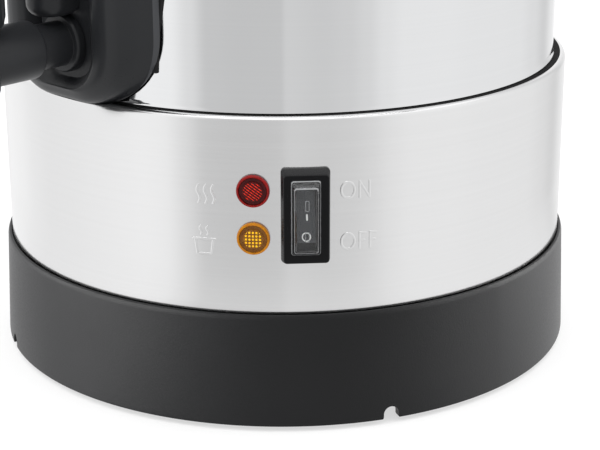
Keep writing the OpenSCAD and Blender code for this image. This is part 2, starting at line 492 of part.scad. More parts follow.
module handle_washers() color("#c9c6bd") difference() {
    for (m = [-1, 1], s = [-1, 1]) translate([0, s * handle_s, handle_z]) rotate([0, m * 90, 0]) translate([0, 0, 95]) difference() {
        cylinder(r = 7, h = 12);
        translate([0, 0, -1]) cylinder(r = 2.55, h = 20);
    }
    difference() {
        cylinder(r = 140, h = 400, $fn = 180);
        translate([0, 0, -1]) cylinder(r = tank_r - tank_t - 0.03, h = 402, $fn = 180);
    }
}

// ---- lid
module lid_shell() color("#d8dadd") difference() {
    rotate_extrude($fn = 180) translate([0, rim_z]) polygon([[107.4, 0], [112.8, 0], [113.1, 0.5], [112.8, 1], [106.5, 1], [100, 4.2], [90, 7.8], [75, 11.8], [60, 14.8],
        [40, 17.6], [20, 19.1], [3, 19.5], [3, 18.5], [20, 18.1], [40, 16.6], [60, 13.8], [75, 10.8], [90, 6.7], [99.6, 3.2], [105.5, 0.2], [106.4, 0]]);
    translate([58, 0, rim_z]) cylinder(r = 2.2, h = 30);
}
// ring that sits inside the tank's rim, spot-welded under the dome's flange
module lid_collar() color("#cfd2d5") rotate_extrude($fn = 180) translate([106.4, rim_z - 6.8]) square([1, 6.78]);
module lid_seal() color("#2a2b2d") rotate_extrude($fn = 180) translate([107.43, rim_z - 5.8]) square([1.1, 4]);
module lid_knob() color("#17181a") rotate_extrude() translate([0, dome_z]) polygon(concat([[2.1, 0], [14, 0], [15, 0.8], [13.2, 5], [12.2, 10], [12.6, 14], [15.5, 18], [20, 21],
    [23.4, 24], [24, 27], [23, 30], [20, 32.2], [14, 33.8], [7, 34.5], [0, 34.7], [0, 18.4], [2.1, 18.4]]));
module lid_screw() color("#b9bcc0") translate([0, 0, dome_z - 1]) {
    translate([0, 0, -2.9]) cylinder(r = 5, h = 2.8);
    translate([0, 0, -1]) cylinder(r = 2.05, h = 19);
}

place() base_ring();
place() bottom_cover();
place() feet();
place() cover_screws();
place() skirt();
place() skirt_seal();
place() cord_gland();
place() gland_nut();
place() tank();
place() centre_stud();
place() centre_washer();
place() centre_nut();
place() heater_plate();
place() heating_element();
place() keep_warm_element();
place() heating_thermostat();
place() keep_warm_thermostat();
place() thermal_fuse();
place() terminal_block();
place() terminal_screws();
place() earth_tag();
place() wiring_loom();
place() switch_housing();
place() switch_terminals();
place() rocker();
place() switch_boot();
place() lamp_lens_red();
place() lamp_lens_amber();
place() lamp_bodies();
place() lamp_nuts();
place() tap_housing();
place() housing_gasket();
place() tap_shank();
place() tap_inner_seal();
place() tap_nut();
place() tap_body();
place() tap_seat();
place() tap_stem();
place() tap_stem_pin();
place() tap_spring();
place() tap_bonnet();
place() tap_lever();
place() tap_pivot_pin();
place() gauge_lower_cap();
place() gauge_upper_cap();
place() gauge_tube();
place() gauge_seals();
place() gauge_nut();
place() gauge_screw();
place() gauge_inner_seals();
place() handle_left();
place() handle_right();
place() handle_screws();
place() handle_washers();
place() lid_shell();
place() lid_collar();
place() lid_seal();
place() lid_knob();
place() lid_screw();
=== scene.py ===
import json
import math

import bmesh
import bpy
from mathutils import Matrix, Vector


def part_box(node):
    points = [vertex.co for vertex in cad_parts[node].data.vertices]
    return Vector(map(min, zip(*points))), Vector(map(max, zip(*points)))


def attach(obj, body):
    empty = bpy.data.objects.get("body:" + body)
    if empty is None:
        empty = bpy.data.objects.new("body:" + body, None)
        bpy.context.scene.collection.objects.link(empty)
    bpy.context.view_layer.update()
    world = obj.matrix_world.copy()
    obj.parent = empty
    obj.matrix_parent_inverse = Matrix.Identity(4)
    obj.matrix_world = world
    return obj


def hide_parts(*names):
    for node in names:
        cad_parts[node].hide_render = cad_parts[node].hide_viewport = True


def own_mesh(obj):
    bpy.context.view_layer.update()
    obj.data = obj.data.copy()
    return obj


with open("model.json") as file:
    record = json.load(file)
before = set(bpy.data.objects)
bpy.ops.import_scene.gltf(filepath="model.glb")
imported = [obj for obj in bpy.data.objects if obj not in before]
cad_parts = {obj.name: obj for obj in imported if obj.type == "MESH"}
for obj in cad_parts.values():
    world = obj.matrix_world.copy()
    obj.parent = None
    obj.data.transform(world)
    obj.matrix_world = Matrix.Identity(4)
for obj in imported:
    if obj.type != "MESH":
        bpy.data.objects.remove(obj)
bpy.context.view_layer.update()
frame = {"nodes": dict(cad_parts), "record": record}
NODES = frame["nodes"]
SLOT = {s["node"]: s["material_slot"] for s in frame["record"]["subparts"]}
_lo, _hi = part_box("tank")
OY = (_lo.y + _hi.y) / 2
MM = 0.001
scene = bpy.context.scene

# ------------------------------------------------------------------ helpers


def rad(a):
    return a * math.pi / 180


def polar(a, r, z):
    return (r * math.sin(rad(a)), -r * math.cos(rad(a)), z)


def arc(cx, cy, r, a0, a1, n):
    return [
        (cx + r * math.cos(rad(a0 + (a1 - a0) * i / n)), cy + r * math.sin(rad(a0 + (a1 - a0) * i / n)))
        for i in range(n + 1)
    ]


def spline(p, k):
    """Points through p, k to a leg, on a Catmull-Rom curve."""
    out = []
    for i in range(len(p) - 1):
        a, b, c, d = p[max(i - 1, 0)], p[i], p[i + 1], p[min(i + 2, len(p) - 1)]
        for j in range(k):
            t = j / k
            out.append(
                tuple(
                    0.5 * (2 * b[m] + (c[m] - a[m]) * t + (2 * a[m] - 5 * b[m] + 4 * c[m] - d[m]) * t * t + (3 * b[m] - a[m] - 3 * c[m] + d[m]) * t**3)
                    for m in range(len(b))
                )
            )
    out.append(tuple(p[-1]))
    return out


def rounded(p, r, k=4):
    """A closed polygon with each corner rounded by r, or by its own r where a point has three numbers."""
    out, n = [], len(p)
    for i in range(n):
        a, b, c = p[i - 1], p[i], p[(i + 1) % n]
        q = b[2] if len(b) > 2 else r
        u, v = Vector((a[0] - b[0], a[1] - b[1])), Vector((c[0] - b[0], c[1] - b[1]))
        q = min(q, u.length * 0.45, v.length * 0.45)
        if q < 1e-6:
            out.append((b[0], b[1]))
            continue
        s, e = Vector(b[:2]) + u.normalized() * q, Vector(b[:2]) + v.normalized() * q
        m = Vector(b[:2])
        for j in range(k + 1):
            t = j / k
            w = s * (1 - t) ** 2 + m * 2 * t * (1 - t) + e * t * t
            out.append((w.x, w.y))
    return out


def rr(w, h, r, n=6):
    """Rounded rectangle about the origin, counter-clockwise."""
    out = []
    for cx, cy, a in ((1, 1, 0), (-1, 1, 90), (-1, -1, 180), (1, -1, 270)):
        out += arc(cx * (w / 2 - r), cy * (h / 2 - r), r, a, a + 90, n)
    return out


def resample(p, n):
    """n points evenly along a closed loop."""
    q = [Vector(x) for x in p] + [Vector(p[0])]
    d = [0.0]
    for i in range(len(q) - 1):
        d.append(d[-1] + (q[i + 1] - q[i]).length)
    out, j = [], 0
    for i in range(n):
        t = d[-1] * i / n
        while d[j + 1] < t:
            j += 1
        f = (t - d[j]) / max(d[j + 1] - d[j], 1e-9)
        out.append(tuple(q[j].lerp(q[j + 1], f)))
    return out


class Shape:
    """Vertices, faces and a material number for each face."""

    def __init__(self):
        self.v, self.f, self.m = [], [], []

    def add(self, v, f, m=0):
        k = len(self.v)
        self.v += [tuple(x) for x in v]
        self.f += [tuple(i + k for i in x) for x in f]
        self.m += m if isinstance(m, list) else [m] * len(f)
        return self

    def loft(self, loops, start="ngon", end="ngon", m=0):
        n = len(loops[0])
        v = [p for l in loops for p in l]
        f, mm = [], []
        for i in range(len(loops) - 1):
            for j in range(n):
                k = (j + 1) % n
                f.append((i * n + j, i * n + k, (i + 1) * n + k, (i + 1) * n + j))
                mm.append(m[i] if isinstance(m, list) else m)
        for where, i in ((start, 0), (end, len(loops) - 1)):
            if where == "fan":
                c = [sum(p[a] for p in loops[i]) / n for a in range(3)]
                v.append(tuple(c))
                f += [(i * n + j, i * n + (j + 1) % n, len(v) - 1) for j in range(n)]
                mm += [(m[min(i, len(loops) - 2)] if isinstance(m, list) else m)] * n
            elif where == "ngon":
                f.append(tuple(i * n + j for j in range(n)))
                mm.append(m[min(i, len(loops) - 2)] if isinstance(m, list) else m)
            elif where == "join":
                pass
        if start == "join":  # a ring closed on itself
            i = len(loops) - 1
            f += [(i * n + j, i * n + (j + 1) % n, (j + 1) % n, j) for j in range(n)]
            mm += [m[-1] if isinstance(m, list) else m] * n
        return self.add(v, f, mm)

    def lathe(self, prof, n=128, m=0, place=lambda r, a, z: (r * math.cos(a), r * math.sin(a), z), ripple=None):
        """A closed profile (radius, height) turned about an axis."""
        k = len(self.v)
        ids = []
        for i, (r, z) in enumerate(prof):
            if r < 1e-6:
                self.v.append(place(0, 0, z))
                ids.append([len(self.v) - 1])
            else:
                row = []
                for j in range(n):
                    a = 2 * math.pi * j / n
                    q = r + (ripple(a, r, z) if ripple else 0)
                    self.v.append(place(q, a, z))
                    row.append(len(self.v) - 1)
                ids.append(row)
        for i in range(len(prof)):
            a, b = ids[i], ids[(i + 1) % len(prof)]
            if len(a) == 1 and len(b) == 1:
                continue
            mi = m[i] if isinstance(m, list) else m
            for j in range(n):
                q = (j + 1) % n
                if len(a) == 1:
                    self.f.append((a[0], b[j], b[q]))
                elif len(b) == 1:
                    self.f.append((a[j], a[q], b[0]))
                else:
                    self.f.append((a[j], a[q], b[q], b[j]))
                self.m.append(mi)
        return self

    def moved(self, fn):
        self.v = [fn(*p) for p in self.v]
        return self


def raw(name, shape, mats, smooth=35):
    me = bpy.data.meshes.new(name)
    me.from_pydata([(x * MM, y * MM + OY, z * MM) for x, y, z in shape.v], [], shape.f)
    for m in mats:
        me.materials.append(m)
    me.polygons.foreach_set("material_index", shape.m)
    bm = bmesh.new()
    bm.from_mesh(me)
    bmesh.ops.remove_doubles(bm, verts=bm.verts, dist=1e-7)
    bmesh.ops.recalc_face_normals(bm, faces=bm.faces)
    bm.to_mesh(me)
    bm.free()
    finish_mesh(me, smooth)
    o = bpy.data.objects.new(name, me)
    scene.collection.objects.link(o)
    return o


def finish_mesh(me, smooth):
    me.polygons.foreach_set("use_smooth", [True] * len(me.polygons))
    me.set_sharp_from_angle(angle=rad(smooth))
    me.update()


def boolean(o, cutters, op="DIFFERENCE", smooth=35):
    """o with the cutters taken off or added, worked out exactly; the cutters go."""
    for c in cutters:
        md = o.modifiers.new("cut", "BOOLEAN")
        md.operation, md.solver, md.object = op, "EXACT", c
    dg = bpy.context.evaluated_depsgraph_get()
    me = bpy.data.meshes.new_from_object(o.evaluated_get(dg))
    o.modifiers.clear()
    old = o.data
    o.data = me
    me.name = o.name
    bpy.data.meshes.remove(old)
    for c in cutters:
        d = c.data
        bpy.data.objects.remove(c)
        bpy.data.meshes.remove(d)
    finish_mesh(me, smooth)
    return o


def put(o, body, slot, *nodes):
    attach(o, body)
    if nodes:
        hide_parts(*nodes)
    return o


def mesh(name, shape, mats, body="body", slot=None, nodes=(), smooth=35):
    return put(raw(name, shape, mats if isinstance(mats, (list, tuple)) else [mats], smooth), body, slot, *nodes)


def radial(a, z):
    """Places a turned shape on an axis that points outwards at angle a and height z; its height is the distance from the tank's axis."""
    ux, uy, wx, wy = math.cos(rad(a)), math.sin(rad(a)), math.sin(rad(a)), -math.cos(rad(a))

    def fn(r, t, w):
        u, v = r * math.cos(t), r * math.sin(t)
        return (u * ux + w * wx, u * uy + w * wy, z + v)

    return fn


def flat(a, R, z):
    """Panel frame at angle a: u to the right, v up, w outwards from radius R."""
    ux, uy, wx, wy = math.cos(rad(a)), math.sin(rad(a)), math.sin(rad(a)), -math.cos(rad(a))
    return lambda u, v, w: (u * ux + (R + w) * wx, u * uy + (R + w) * wy, z + v)


def wrap(a, R, z):
    """The same, with u along the round surface."""
    return lambda u, v, w: polar(a + u / R * 180 / math.pi, R + w, z + v)


def cyl(name, p, q, r, n=64):
    """A plain cutter from p to q."""
    p, q = Vector(p), Vector(q)
    d = (q - p).normalized()
    s = d.orthogonal().normalized()
    t = d.cross(s)
    ring = lambda c: [tuple(c + r * (math.cos(2 * math.pi * i / n) * s + math.sin(2 * math.pi * i / n) * t)) for i in range(n)]
    return raw(name, Shape().loft([ring(p), ring(q)]), [])


# ------------------------------------------------------------------ materials


class Mat:
    def __init__(self, name):
        self.m = bpy.data.materials.new(name)
        self.m.use_nodes = True
        self.t = self.m.node_tree
        self.b = next(n for n in self.t.nodes if n.type == "BSDF_PRINCIPLED")
        self.c = self.t.nodes.new("ShaderNodeTexCoord")

    def set(self, **k):
        for a, b in k.items():
            s = self.b.inputs[a.replace("_", " ")]
            s.default_value = b
        return self

    def node(self, kind, ins=None, **attr):
        n = self.t.nodes.new(kind)
        for a, b in attr.items():
            setattr(n, a, b)
        for a, b in (ins or {}).items():
            if isinstance(b, bpy.types.NodeSocket):
                self.t.links.new(b, n.inputs[a])
            else:
                n.inputs[a].default_value = b
        return n

    def coords(self, scale=(1, 1, 1)):
        return self.node("ShaderNodeMapping", {"Vector": self.c.outputs["Object"], "Scale": scale}).outputs[0]

    def noise(self, scale, detail=2.0, rough=0.5, stretch=(1, 1, 1)):
        return self.node("ShaderNodeTexNoise", {"Vector": self.coords(stretch), "Scale": scale, "Detail": detail, "Roughness": rough}).outputs["Fac"]

    def ramp(self, fac, a, b, lo=0.0, hi=1.0):
        return self.node("ShaderNodeMapRange", {"Value": fac, "From Min": lo, "From Max": hi, "To Min": a, "To Max": b}).outputs[0]

    def mixcol(self, fac, a, b):
        n = self.node("ShaderNodeMix", data_type="RGBA")
        self.t.links.new(fac, n.inputs[0])
        n.inputs[6].default_value = (*a, 1)
        n.inputs[7].default_value = (*b, 1)
        return n.outputs[2]

    def bump(self, height, strength, distance, below=None):
        n = self.node("ShaderNodeBump", {"Height": height, "Strength": strength, "Distance": distance})
        if below is not None:
            self.t.links.new(below, n.inputs["Normal"])
        return n.outputs[0]

    def link(self, name, sock):
        self.t.links.new(sock, self.b.inputs[name])
        return self


def steel(name, col, rough, grain, wave, rough_var=0.03, blotch=7.0, stretch=(1.5, 1.5, 700)):
    """Stainless sheet: fine lines along the rolling direction, faint waviness and uneven gloss."""
    m = Mat(name)
    lines = m.noise(1.0, 2.0, 0.6, stretch)
    patch = m.noise(blotch, 3.0, 0.55)
    m.set(Metallic=1.0, IOR=2.5)
    dark = tuple(c * 0.985 for c in col)
    m.link("Base Color", m.mixcol(m.ramp(lines, 0, 1, 0.3, 0.7), dark, col))
    both = m.node("ShaderNodeMath", {0: m.ramp(lines, -rough_var, rough_var, 0.3, 0.7), 1: m.ramp(patch, rough - rough_var, rough + rough_var, 0.3, 0.7)}, operation="ADD")
    m.link("Roughness", both.outputs[0])
    big = m.bump(m.noise(9.0, 1.0, 0.4, (1, 1, 0.35)), wave, 0.002)
    m.link("Normal", m.bump(lines, grain, 0.0002, big))
    return m.m


def plastic(name, col, rough, grain=0.12, scale=1900.0, lift=1.35, coat=0.0, spec=0.5):
    """Moulded plastic: fine spark-eroded grain, soft colour drift and uneven gloss."""
    m = Mat(name)
    m.set(IOR=1.5, Specular_IOR_Level=spec)
    if coat:
        m.set(Coat_Weight=coat, Coat_Roughness=0.2)
    drift = m.noise(14.0, 3.0, 0.55)
    fine = m.noise(scale, 2.0, 0.6)
    m.link("Base Color", m.mixcol(m.ramp(drift, 0, 1, 0.3, 0.7), col, tuple(c * lift for c in col)))
    both = m.node("ShaderNodeMath", {0: m.ramp(fine, -0.05, 0.05, 0.3, 0.7), 1: m.ramp(drift, rough - 0.03, rough + 0.03, 0.3, 0.7)}, operation="ADD")
    m.link("Roughness", both.outputs[0])
    m.link("Normal", m.bump(fine, grain, 0.0002))
    return m.m


def clear(name, col, rough, ior=1.45, alpha=1.0):
    m = Mat(name)
    m.set(Base_Color=(*col, 1), Transmission_Weight=1.0, IOR=ior)
    m.link("Roughness", m.ramp(m.noise(260.0, 2.0), rough * 0.7, rough * 1.3, 0.3, 0.7))
    return m.m


def lens(name, col, deep_tone_and_painted_shade, rough=0.12, glow=0.0):
    """Tinted moulding: colour deepens in cloudy drifts, glossy skin."""
    m = Mat(name)
    m.set(IOR=1.5, Specular_IOR_Level=0.14, Coat_Weight=0.12, Coat_Roughness=0.06, Subsurface_Weight=0.25, Subsurface_Scale=0.002, Subsurface_Radius=(1.0, 0.35, 0.1))
    m.link("Base Color", m.mixcol(m.ramp(m.noise(420.0, 2.0), 0, 1, 0.25, 0.75), col, deep_tone_and_painted_shade))
    m.link("Roughness", m.ramp(m.noise(900.0, 1.0), rough * 0.7, rough * 1.3, 0.3, 0.7))
    if glow:
        m.set(Emission_Color=(*col, 1), Emission_Strength=glow)
    return m.m


M = {
    "tank_steel": steel("tank_steel", (0.80, 0.805, 0.81), 0.07, 0.012, 0.04, 0.008),
    "skirt_steel": steel("skirt_steel", (0.80, 0.80, 0.80), 0.18, 0.05, 0.025, 0.02),
    # lid steel is coloured much darker than the tank's: painted shade that keeps the top light from washing the lid out
    "lid_steel": steel("lid_steel", (0.47, 0.475, 0.485), 0.17, 0.02, 0.05, 0.012),
    "black_plastic": plastic("black_plastic", (0.0020, 0.0021, 0.0024), 0.42, 0.20, 1500.0, spec=0.24),
    "handle_plastic": plastic("handle_plastic", (0.0050, 0.0053, 0.0060), 0.38, 0.14, 1700.0),
    "tap_plastic": plastic("tap_plastic", (0.0125, 0.0132, 0.0147), 0.34, 0.08, 1900.0, spec=0.28),
    "bezel_plastic": plastic("bezel_plastic", (0.0036, 0.0038, 0.0044), 0.28, 0.05, 1200.0, spec=0.45),
    "rocker_plastic": plastic("rocker_plastic", (0.024, 0.0255, 0.028), 0.42, 0.10, 1600.0, spec=0.25),
    "clear_boot": clear("clear_boot", (0.96, 0.97, 0.98), 0.06, 1.38),
    "gauge_glass": clear("gauge_glass", (0.97, 0.985, 0.99), 0.02, 1.47),
    "red_lens": lens("red_lens", (0.23, 0.008, 0.007), (0.16, 0.005, 0.005)),
    "amber_lens": lens("amber_lens", (0.46, 0.18, 0.005), (0.36, 0.13, 0.004)),
    "rubber_black": plastic("rubber_black", (0.0055, 0.0055, 0.0060), 0.66, 0.20, 900.0, spec=0.25),
    "silicone": plastic("silicone", (0.62, 0.60, 0.55), 0.45, 0.08, 500.0, 1.1),
    "zinc_steel": steel("zinc_steel", (0.62, 0.63, 0.66), 0.26, 0.10, 0.05, 0.05, 90.0, (300, 300, 300)),
    "spring_steel": steel("spring_steel", (0.60, 0.61, 0.63), 0.22, 0.10, 0.02, 0.04, 60.0, (300, 300, 300)),
    "brass": steel("brass", (0.72, 0.53, 0.24), 0.25, 0.10, 0.05, 0.05, 80.0, (300, 300, 300)),
    "heater_alloy": steel("heater_alloy", (0.62, 0.63, 0.64), 0.42, 0.25, 0.10, 0.05, 40.0, (200, 200, 200)),
    "sheath": steel("sheath", (0.30, 0.27, 0.25), 0.40, 0.15, 0.05, 0.06, 60.0, (200, 200, 200)),
    "white_insulator": plastic("white_insulator", (0.74, 0.72, 0.66), 0.45, 0.08, 700.0, 1.06),
    "brown_insulator": plastic("brown_insulator", (0.050, 0.030, 0.022), 0.35, 0.08, 700.0),
    "wire_cover": plastic("wire_cover", (0.30, 0.045, 0.030), 0.40, 0.15, 1200.0),
    "cover_paint": plastic("cover_paint", (0.026, 0.027, 0.029), 0.45, 0.25, 800.0),
}
white_print = plastic("white_print", (0.72, 0.72, 0.70), 0.5, 0.05, 900.0, 1.05)
# opaque grey for the clear boot's edge bands and ribs: painted highlight in place of the glints on clear plastic
boot_edge_painted_highlight = plastic("boot_edge_painted_highlight", (0.20, 0.205, 0.21), 0.30, 0.05, 900.0, 1.1)
# lamp lens copies: the dark ones are painted shade for the lamps' grooves, lower outer walls and pattern ground, the
# bright ones painted highlight on the raised pattern
red_lens_painted_shade = lens("red_lens_painted_shade", (0.075, 0.005, 0.005), (0.045, 0.0035, 0.004), 0.10)
amber_lens_painted_shade = lens("amber_lens_painted_shade", (0.23, 0.095, 0.018), (0.17, 0.062, 0.010), 0.10)
amber_lens_painted_highlight = lens("amber_lens_painted_highlight", (0.92, 0.50, 0.020), (0.84, 0.42, 0.012), 0.10)
bezel_face = plastic("bezel_face", (0.0022, 0.0023, 0.0028), 0.34, 0.05, 1200.0, spec=0.15)
# lighter copy of tap_plastic for the housing's side wall: painted light standing for the light the wall catches
tap_wall_painted_light = plastic("tap_wall_painted_light", (0.034, 0.0355, 0.039), 0.36, 0.08, 1900.0, spec=0.4)
# the seal is real black rubber; its extra darkness and dull sheen over rubber_black are painted shade of the seam gap
seam_rubber_painted_shade = plastic("seam_rubber_painted_shade", (0.0016, 0.0016, 0.0018), 0.70, 0.15, 900.0, spec=0.08)
tank_inside = steel("tank_inside", (0.74, 0.745, 0.75), 0.46, 0.05, 0.02, 0.03)
next(n for n in tank_inside.node_tree.nodes if n.type == "BSDF_PRINCIPLED").inputs["Metallic"].default_value = 0.6

for name, o in NODES.items():
    o.data.materials.clear()
    o.data.materials.append(M[SLOT[name]])

# ------------------------------------------------------------------ vessel, skirt and base
seam = 119.93
bead = spline([(110.62, seam + 0.08), (110.66, seam + 0.3), (110.55, seam + 0.75), (110.28, seam + 1.35), (110.08, seam + 2.1), (110.0, seam + 3.2)], 5)
rows = [(110.0, z) for z in (132, 150, 175, 200, 240, 280, 320, 350)]
rim = spline([(110.0, 366.5), (110.35, 366.9), (111.2, 367.6), (112.5, 368.2), (113.25, 369.3), (113.4, 370.4), (113.2, 371.5), (112.4, 372.4), (111.2, 372.8), (110.0, 372.75), (109.25, 372.2), (109.0, 371.2)], 5)
tank_prof = (
    [(0, 111)] + arc(102, 119, 8, -90, 0, 10) + [(110.0, seam - 0.15), (110.2, seam), (110.5, seam)] + bead + rows + rim
    + [(109.0, z) for z in (340, 290, 240, 190, 150, 130)] + arc(102, 119, 7, 0, -90, 10) + [(60, 112), (0, 112)]
)
inside = len(tank_prof) - 20  # first strip of the satin inside
tank = raw("tank_wall", Shape().lathe(tank_prof, 384, [1 if i >= inside else 0 for i in range(len(tank_prof))]), [M["tank_steel"], tank_inside], 40)
holes = [cyl("c1", (0, -95, 140), (0, -125, 140), 8.4), cyl("c2", (0, -95, 160), (0, -125, 160), 4.1), cyl("c3", (0, -95, 309), (0, -125, 309), 2.2)]
holes += [cyl("c", (m * 90, s * 40, 306), (m * 120, s * 40, 306), 2.7, 40) for m in (-1, 1) for s in (-1, 1)]
boolean(tank, holes, smooth=40)
put(tank, "body", "tank_steel", "tank")

skirt_prof = (
    [(114.0, 43.4), (114.85, 43.4), (115.0, 43.6)] + [(115.0, z) for z in (50, 58, 66, 74, 82, 90, 98, 106, 112, 116)] + arc(113.0, 117.87, 2.0, 0, 138, 36)
    + [(111.46, 118.95), (111.45, 118.6), (111.45, 116.7), (112.2, 116.7), (112.2, 118.2)] + arc(113.0, 117.87, 1.0, 140, 0, 12) + [(114.0, 110), (114.0, 100), (114.0, 70)]
)
skirt = raw("skirt_band", Shape().lathe(skirt_prof, 384), [M["skirt_steel"]], 40)
P = flat(47.6, 115, 83.8)
cut = raw("c", Shape().loft([[P(u, v, w) for u, v in rr(13, 28.8, 0.4, 3)] for w in (-8, 8)]), [])
R38 = radial(38.3, 0)
cuts = [cut] + [cyl("c", radial(38.3, z)(0, 0, 105), radial(38.3, z)(0, 0, 122), 5.1) for z in (93, 75.1)]
boolean(skirt, cuts, smooth=40)
put(skirt, "body", "skirt_steel", "skirt")

# seal ring in the darker rubber: a real seal, darkened further as painted shade of the gap
mesh("seam_ring", Shape().lathe(rounded([(110.02, 118.0), (111.3, 118.0), (111.35, 119.25), (112.1, 119.70), (112.88, 119.87), (112.78, seam), (110.02, seam)], 0.03, 4), 384), seam_rubber_painted_shade, "body", "rubber_black", ["skirt_seal"], 60)

base_prof = rounded(
    [(115.3, 2, 0.3), (118.5, 2, 1.0), (118.52, 3.2, 0.3), (116.9, 44.3, 0.8), (116.35, 45.7, 0.7), (115.35, 45.7, 0.25), (115.35, 43.4, 0), (113.6, 43.4, 0.2), (113.6, 51, 0.3),
     (111.6, 51, 0.3), (111.6, 40.4, 0.5), (98, 40.4, 0.4), (98, 37.4, 0.4), (113.8, 37.4, 0.8)], 0.3, 5)
base = raw("base_shell", Shape().lathe(base_prof, 384), [M["black_plastic"]], 40)
cuts = []
for k in range(4):
    a = 63.4 + 90 * k
    F = flat(a, 100, 0)
    out = [(-3.6, -1), (3.6, -1), (3.6, 2.0), (3.22, 2.3), (3.0, 2.9)] + arc(0, 4.0, 3.0, 0, 180, 24) + [(-3.0, 2.9), (-3.22, 2.3), (-3.6, 2.0)]
    cuts.append(raw("c", Shape().loft([[F(u, v, w) for u, v in out] for w in (8, 24)]), []))
cuts.append(cyl("c", (0, 106, 22), (0, 124, 22), 6.6))
boolean(base, cuts, smooth=40)
posts = Shape()
for a in (45, 135, 225, 315):
    x, y, _ = polar(a, 104, 0)
    posts.lathe([(1.5, 8), (4.6, 8), (5, 8.6), (5, 37.6), (1.5, 37.6)], 40, place=lambda r, t, z: (x + r * math.cos(t), y + r * math.sin(t), z))
put(base, "body", "black_plastic", "base_ring")
mesh("base_posts", posts, M["black_plastic"], "body", "black_plastic")

feet = Shape()
for a in (0, 90, 180, 270):
    x, y, _ = polar(a, 96, 0)
    prof = [(0, 0)] + rounded([(8.4, 0, 0.5), (9, 1, 0.6), (9, 6, 0.8), (3, 6, 0.2), (3, 8, 0.2), (4.6, 8, 0.4), (4.6, 9.4, 0.6), (3.6, 10.4, 0.6)], 0.4, 4)[0:] + [(0, 10.4)]
    feet.lathe(prof, 64, place=lambda r, t, z: (x + r * math.cos(t), y + r * math.sin(t), z))
mesh("rubber_feet", feet, M["rubber_black"], "body", "rubber_black", ["feet"], 40)

gland = Shape().lathe(
    rounded([(3.6, 96, 0.3), (6.4, 96, 0.5), (6.4, 118.3, 0.2), (9.5, 118.3, 0.3), (9.5, 120.0, 0.9), (8.3, 121.2, 0.6), (5.2, 121.2, 0.3), (3.6, 120.6, 0.6)], 0.3, 5), 96, place=radial(180, 22))
mesh("cord_gland_bush", gland, M["black_plastic"], "body", "black_plastic", ["cord_gland"], 40)

# ------------------------------------------------------------------ switch and lamps
conf = lambda u, R=115.03: math.sqrt(R * R - u * u) - 115


def bezel_loop(w, h, r, d, fit=False, t=0.0):
    """Outline at depth d; t moves it from the rim's middle to the face's."""
    return [P(u + 0.2 * t, v - 0.9 * t, (conf(u) if fit else d)) for u, v in rr(w, h, r, 8)]


loops = [
    bezel_loop(12.2, 28.0, 0.5, -24), bezel_loop(12.6, 28.4, 0.6, -23.7), bezel_loop(12.6, 28.4, 0.6, -1.6), bezel_loop(12.6, 28.4, 0.6, 0, True),
    bezel_loop(17.6, 35.5, 1.5, 0, True), bezel_loop(17.7, 35.6, 1.6, 0.25), bezel_loop(17.7, 35.6, 1.6, 0.62), bezel_loop(17.66, 35.5, 1.58, 0.78, t=0.04), bezel_loop(17.55, 35.3, 1.55, 0.92, t=0.1),
    bezel_loop(16.7, 33.65, 1.35, 2.27, t=0.86), bezel_loop(16.55, 33.35, 1.3, 2.45, t=0.97), bezel_loop(16.3, 33.1, 1.25, 2.56, t=1.0), bezel_loop(16.0, 32.8, 1.2, 2.6, t=1.0),
    bezel_loop(8.5, 25.7, 0.7, 2.6), bezel_loop(8.2, 25.4, 0.6, 2.5), bezel_loop(8.0, 25.2, 0.5, 2.2), bezel_loop(8.0, 25.2, 0.5, -6),
]
mesh("switch_frame", Shape().loft(loops, m=[0] * 12 + [1] * 4), [M["bezel_plastic"], bezel_face], "body", "bezel_plastic", ["switch_housing"], 28)

# rocker: two sloping halves on trunnions, drawn level and then tipped with its top pressed in
TILT = rad(10)
PV = flat(47.6, 114.6, 84.4)


def on_rocker(u, v, w):
    c, s = math.cos(TILT), math.sin(TILT)
    return PV(u, v * c + w * s, -v * s + w * c)


rock = Shape()
side = rounded([(-10.2, 3.7, 0.35), (2.0, 1.7, 0.6), (10.2, 3.1, 0.45), (10.2, 1.0, 0.4), (5.5, -2.5, 0.5), (-5.5, -2.5, 0.5), (-10.2, 1.0, 0.4)], 0.4, 5)
cen = (0.0, 0.6)


def rock_loop(u, inset):
    out = []
    for v, w in side:
        d = Vector((v - cen[0], w - cen[1]))
        k = max(0.0, 1 - inset / max(d.length, 1e-6))
        out.append((u, cen[0] + d.x * (1 - inset / 12.0), cen[1] + d.y * (1 - inset / 3.6)))
    return out


loops = [rock_loop(u, i) for u, i in ((-3.5, 0.30), (-3.44, 0.13), (-3.28, 0.03), (-3.1, 0.0), (3.1, 0.0), (3.28, 0.03), (3.44, 0.13), (3.5, 0.30))]
rock.loft(loops)
for s in (-1, 1):
    ring = lambda u, r: [(s * u, r * math.cos(2 * math.pi * i / 40), r * math.sin(2 * math.pi * i / 40)) for i in range(40)]
    rock.loft([ring(3.0, 1.25), ring(5.15, 1.25), ring(5.3, 1.1)])
rock.moved(on_rocker)
mesh("rocker_paddle", rock, M["rocker_plastic"], "rocker", "rocker_plastic", ["rocker"], 32)


def face_w(v):
    """Height of the rocker's front at v."""
    return 1.7 + ((2.0 - v) * 2.0 / 12.2 if v < 2.0 else (v - 2.0) * 1.4 / 8.2)


